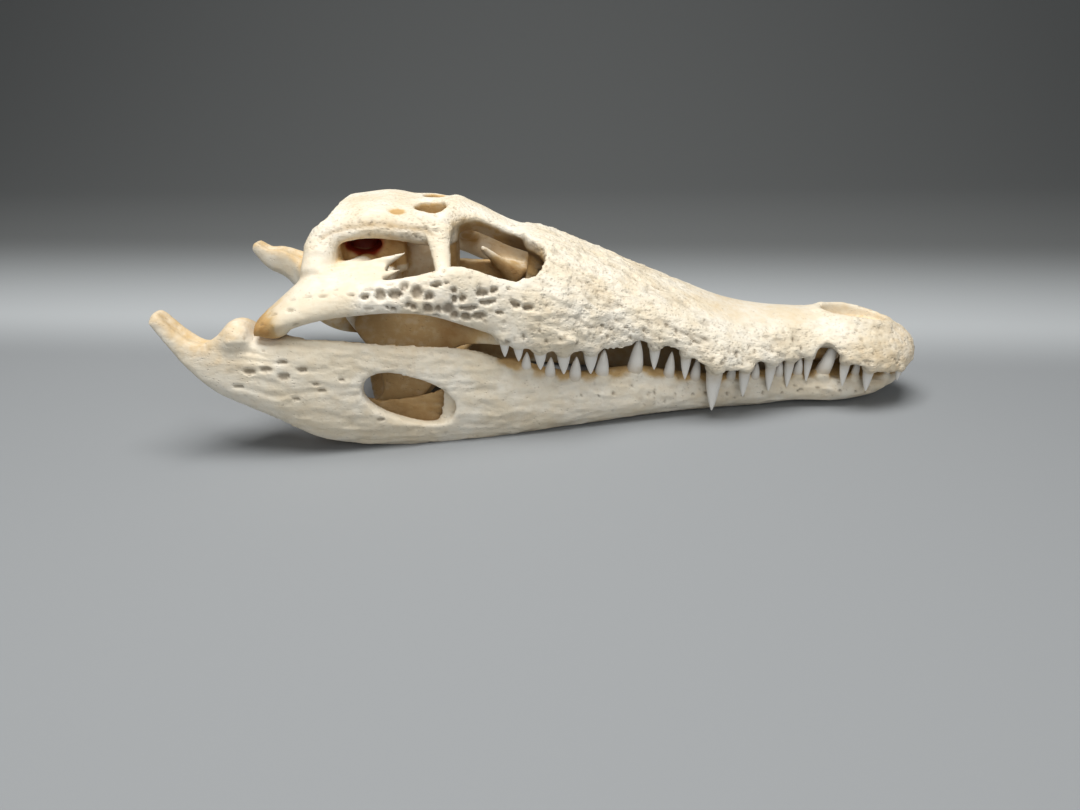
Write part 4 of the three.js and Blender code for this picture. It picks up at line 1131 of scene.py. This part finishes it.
def noise_node(place, size, detail=3.0, stretch=(1, 1, 1)):
    """Noise of features about size mm."""
    made = place.node("ShaderNodeTexNoise", None, Vector=in_cells(place, size, stretch), Scale=1.0,
                      Detail=detail)
    return place.wrap(made.outputs["Fac"])


def pore_node(place, size, stretch=(1, 1, 1)):
    """Distance to the nearest of scattered points about size mm apart."""
    made = place.node("ShaderNodeTexVoronoi", None, Vector=in_cells(place, size, stretch), Scale=1.0)
    return place.wrap(made.outputs["Distance"])


def attribute_value(place, name):
    """A share that the mesh holds at its points."""
    made = place.node("ShaderNodeAttribute", {"attribute_name": name})
    return place.wrap(made.outputs["Fac"])


def set_shader(place, shader, colour, roughness, height, strength, distance):
    """Links colour and roughness, and a height in mm as a bump."""
    place.tree.links.new(colour.socket, shader.inputs["Base Color"])
    place.tree.links.new(roughness.socket, shader.inputs["Roughness"])
    made = place.node("ShaderNodeBump", None, Height=height, Strength=strength, Distance=distance * MM)
    place.tree.links.new(made.outputs["Normal"], shader.inputs["Normal"])


IVORY = (0.79, 0.71, 0.56, 1)
CREAM = (0.86, 0.815, 0.71, 1)
HONEY = (0.62, 0.43, 0.20, 1)
DEEP_HONEY = (0.42, 0.225, 0.07, 1)
# brown of the painted shade in pits, pores, creases and hidden places
SHADE_BROWN = (0.18, 0.13, 0.08, 1)
# dark red of the painted shade in the ear opening
EAR_SHADE_RED = (0.24, 0.022, 0.005, 1)
ENAMEL = (0.84, 0.82, 0.77, 1)
ENAMEL_ROOT = (0.62, 0.53, 0.40, 1)


def make_bone_material():
    """Dry bone: cream and ivory in soft clouds, honey where it is stained and as painted shade in hidden
    places, brown painted shade in the pits, pores and creases, and dark red painted shade in the ear
    opening, with pores and a fine grain along its length."""
    material, tree, place, shader = start_material("dry bone")
    clouds = noise_node(place, 16).ramp(0.35, 0.65)
    mottle = noise_node(place, 3.0, 4).ramp(0.3, 0.75)
    grain = noise_node(place, 0.5, 3, (5, 1, 1))
    pores = 1 - pore_node(place, 1.1, (1.5, 1, 1)).ramp(0.1, 0.26)
    few = noise_node(place, 4).ramp(0.45, 0.6)
    colour = clouds.colour_mix(IVORY, CREAM)
    colour = (mottle * 0.18).colour_mix(colour, HONEY)
    # Honey: real stain, and painted shade in closed, inner and downward-facing places.
    stain = attribute_value(place, "stain")
    colour = (stain * (0.55 + 0.45 * mottle)).clamped().colour_mix(colour, HONEY)
    colour = ((stain - 1).clamped() * (0.5 + 0.5 * mottle)).colour_mix(colour, DEEP_HONEY)
    # Brown painted shade in pits, creases and hidden places.
    colour = (attribute_value(place, "pit_shade") * 0.7).clamped().colour_mix(colour, SHADE_BROWN)
    # Brown painted shade in the pores.
    colour = (pores * few * 0.18).colour_mix(colour, SHADE_BROWN)
    # Dark red painted shade inside the ear opening.
    colour = attribute_value(place, "dark_stain").colour_mix(colour, EAR_SHADE_RED)
    roughness = 0.5 + 0.16 * mottle + 0.06 * grain
    rough = attribute_value(place, "rough")
    pocks = (1 - pore_node(place, 1.7).ramp(0.12, 0.42)) * rough
    crumple = noise_node(place, 1.5, 3, (2.4, 1, 1)).ramp(0.3, 0.7) * rough
    # Brown painted shade in the pocks of rough bone.
    colour = (pocks * 0.12).colour_mix(colour, SHADE_BROWN)
    height = grain * 0.3 + mottle * 0.3 - pores * few * 0.6 - pocks * 0.7 + crumple * 0.7
    set_shader(place, shader, colour, roughness, height, 0.8, 0.3)
    shader.inputs["Specular IOR Level"].default_value = 0.35
    return material


def make_tooth_material():
    """Enamel: greyish white and satin, with fine upright lines and a tan root."""
    material, tree, place, shader = start_material("tooth enamel")
    lines = noise_node(place, 0.45, 2, (1, 1, 9))
    clouds = noise_node(place, 3).ramp(0.3, 0.7)
    stain = (attribute_value(place, "root_stain") * (0.6 + 0.4 * clouds)).clamped()
    colour = stain.colour_mix(ENAMEL, ENAMEL_ROOT)
    set_shader(place, shader, colour, 0.24 + 0.12 * lines, lines, 0.25, 0.08)
    return material


bone_material = make_bone_material()
tooth_material = make_tooth_material()

def grown_surface(growth):
    """Points and quads of a growth's surface, facing out and evened."""
    points, quads = outward(*growth.surface())
    return relaxed(points, quads), quads


skull_growth = grow_skull()
skull_points, skull_quads = grown_surface(skull_growth)
snout_piece, skull_piece = finish_bone(("snout_bone", "skull_bone"), skull_points, skull_quads,
                                       lambda p, n: carve_skull(p, n, skull_growth),
                                       bone_material, FACE_REAR)
jaw_growth = grow_jaw()
jaw_points, jaw_quads = grown_surface(jaw_growth)
jaw_right, = finish_bone(("jaw_bone_right",), jaw_points, jaw_quads,
                         lambda p, n: carve_jaw(p, n, jaw_growth, 1), bone_material)
left_points = jaw_points * (1, -1, 1)
arch = HOOK_ARCH[2] * bump(left_points[:, 0], *HOOK_ARCH[:2])
arched_points = left_points + np.stack([0 * arch, 0 * arch, arch], -1)
jaw_left, = finish_bone(("jaw_bone_left",), arched_points, jaw_quads[:, ::-1],
                        lambda p, n: carve_jaw(left_points, n, jaw_growth, -1), bone_material)


def tooth_row(name, row):
    """All teeth of a row, on both sides, as one mesh of closed cones."""
    points, faces, stains, total = [], [], [], 0
    for root, tip, radius in row:
        p, f = tooth(root, tip, radius)
        along = (p - root) @ (tip - root) / ((tip - root) @ (tip - root))
        stains += [1 - step(along, 0.12, 0.5)] * 2
        for flip in (1, -1):
            points.append(p * (1, flip, 1))
            faces.append((f if flip > 0 else f[:, ::-1]) + total)
            total += len(p)
    piece = make_piece(name, np.concatenate(points), np.concatenate(faces), tooth_material)
    layer = piece.data.attributes.new("root_stain", "FLOAT", "POINT")
    layer.data.foreach_set("value", np.concatenate(stains).astype(np.float32))
    return piece


upper_teeth = tooth_row("upper_teeth", upper_row)
lower_teeth = tooth_row("lower_teeth", lower_row)

for piece, node, slot in ((snout_piece, "upper_jaw", "bone"), (skull_piece, "cranium", "bone"),
                          (jaw_right, "lower_jaw_right", "bone"), (jaw_left, "lower_jaw_left", "bone"),
                          (upper_teeth, None, "teeth"), (lower_teeth, None, "teeth")):
    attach(piece, "root")
    if node:
        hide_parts(node)

# ---- floor, light and camera -------------------------------------------------------

FLOOR = (0.28, 0.295, 0.31, 1)
FLOOR_PAINTED_LIGHT = (0.465, 0.491, 0.511, 1)
FLOOR_PAINTED_SHADE = (0.148, 0.156, 0.158, 1)


def make_floor_painted_light():
    """Pale grey, a lighter band of painted light behind the skull, and painted shade, darker from there on.
    """
    material, tree, place, shader = start_material("floor painted light and shade")
    parts = place.node("ShaderNodeSeparateXYZ", None, Vector=place)
    back = place.wrap(parts.outputs["Y"]) + 0.05 * place.wrap(parts.outputs["X"])
    # Painted light in a band behind the skull, then painted shade darkening towards the wall.
    colour = back.ramp(0.03, 0.1).colour_mix(FLOOR, FLOOR_PAINTED_LIGHT)
    colour = back.ramp(0.08, 0.29).colour_mix(colour, FLOOR_PAINTED_SHADE)
    tree.links.new(colour.socket, shader.inputs["Base Color"])
    shader.inputs["Roughness"].default_value = 0.8
    return material


def make_floor():
    """Floor that curves up behind the skull: a straight run, a quarter circle and a wall."""
    reach, radius, high = 0.5, 0.5, 1.6
    bend = np.linspace(0, np.pi / 2, 24)
    y = np.concatenate([[-1.5], reach + radius * np.sin(bend), [reach + radius]])
    z = np.concatenate([[0], radius * (1 - np.cos(bend)), [high]])
    x = np.array([-2.5, 2.5])
    points = np.stack([np.repeat(x, len(y)), np.tile(y, 2), np.tile(z, 2)], -1) / MM
    k = np.arange(len(y) - 1)
    faces = np.stack([k, k + len(y), k + len(y) + 1, k + 1], -1)
    return make_piece("floor", points, faces, make_floor_painted_light())


make_floor()

CAMERA_PLACE = Vector((-0.0059, -0.3073, 0.1328))
YAW, PITCH, ROLL = (math.radians(a) for a in (-0.92, 24.3, -0.48))
FOCAL = 801.1 / 1080                # in widths of the picture
SENSOR = 36.0
WARM_WHITE = (1, 0.985, 0.955)


def make_camera():
    """Camera over the floor, looking down at the right side; its axes come from yaw, pitch and roll."""
    forward = Vector((math.sin(YAW) * math.cos(PITCH), math.cos(YAW) * math.cos(PITCH), -math.sin(PITCH)))
    level = Vector((math.cos(YAW), -math.sin(YAW), 0))
    rise = level.cross(forward)
    right = level * math.cos(ROLL) + rise * math.sin(ROLL)
    up = rise * math.cos(ROLL) - level * math.sin(ROLL)
    data = bpy.data.cameras.new("camera")
    data.sensor_width = SENSOR
    data.lens = FOCAL * SENSOR
    data.clip_start = 0.01
    camera = bpy.data.objects.new("camera", data)
    turn = Matrix((right, up, -forward)).transposed()
    camera.matrix_world = Matrix.Translation(CAMERA_PLACE) @ turn.to_4x4()
    bpy.context.scene.collection.objects.link(camera)
    bpy.context.scene.camera = camera


make_camera()


def add_light(name, place, target, size, power):
    """Rectangular lamp that faces its target."""
    data = bpy.data.lights.new(name, "AREA")
    data.shape = "RECTANGLE"
    data.size, data.size_y = size
    data.energy = power
    data.color = WARM_WHITE
    light = bpy.data.objects.new(name, data)
    light.location = place
    light.rotation_euler = (Vector(target) - Vector(place)).to_track_quat("-Z", "Y").to_euler()
    bpy.context.scene.collection.objects.link(light)


add_light("overhead softbox", (-0.08, -0.14, 0.80), (0, 0, 0.03), (0.5, 0.5), 8.3)
add_light("front fill", (0.2, -0.9, 0.5), (0, 0, 0.03), (0.8, 0.6), 2.7)

bpy.context.scene.view_settings.view_transform = "Standard"
world = bpy.data.worlds.new("studio")
bpy.context.scene.world = world
world.use_nodes = True
world.node_tree.nodes["Background"].inputs["Color"].default_value = (0.75, 0.78, 0.82, 1)
world.node_tree.nodes["Background"].inputs["Strength"].default_value = 0.12
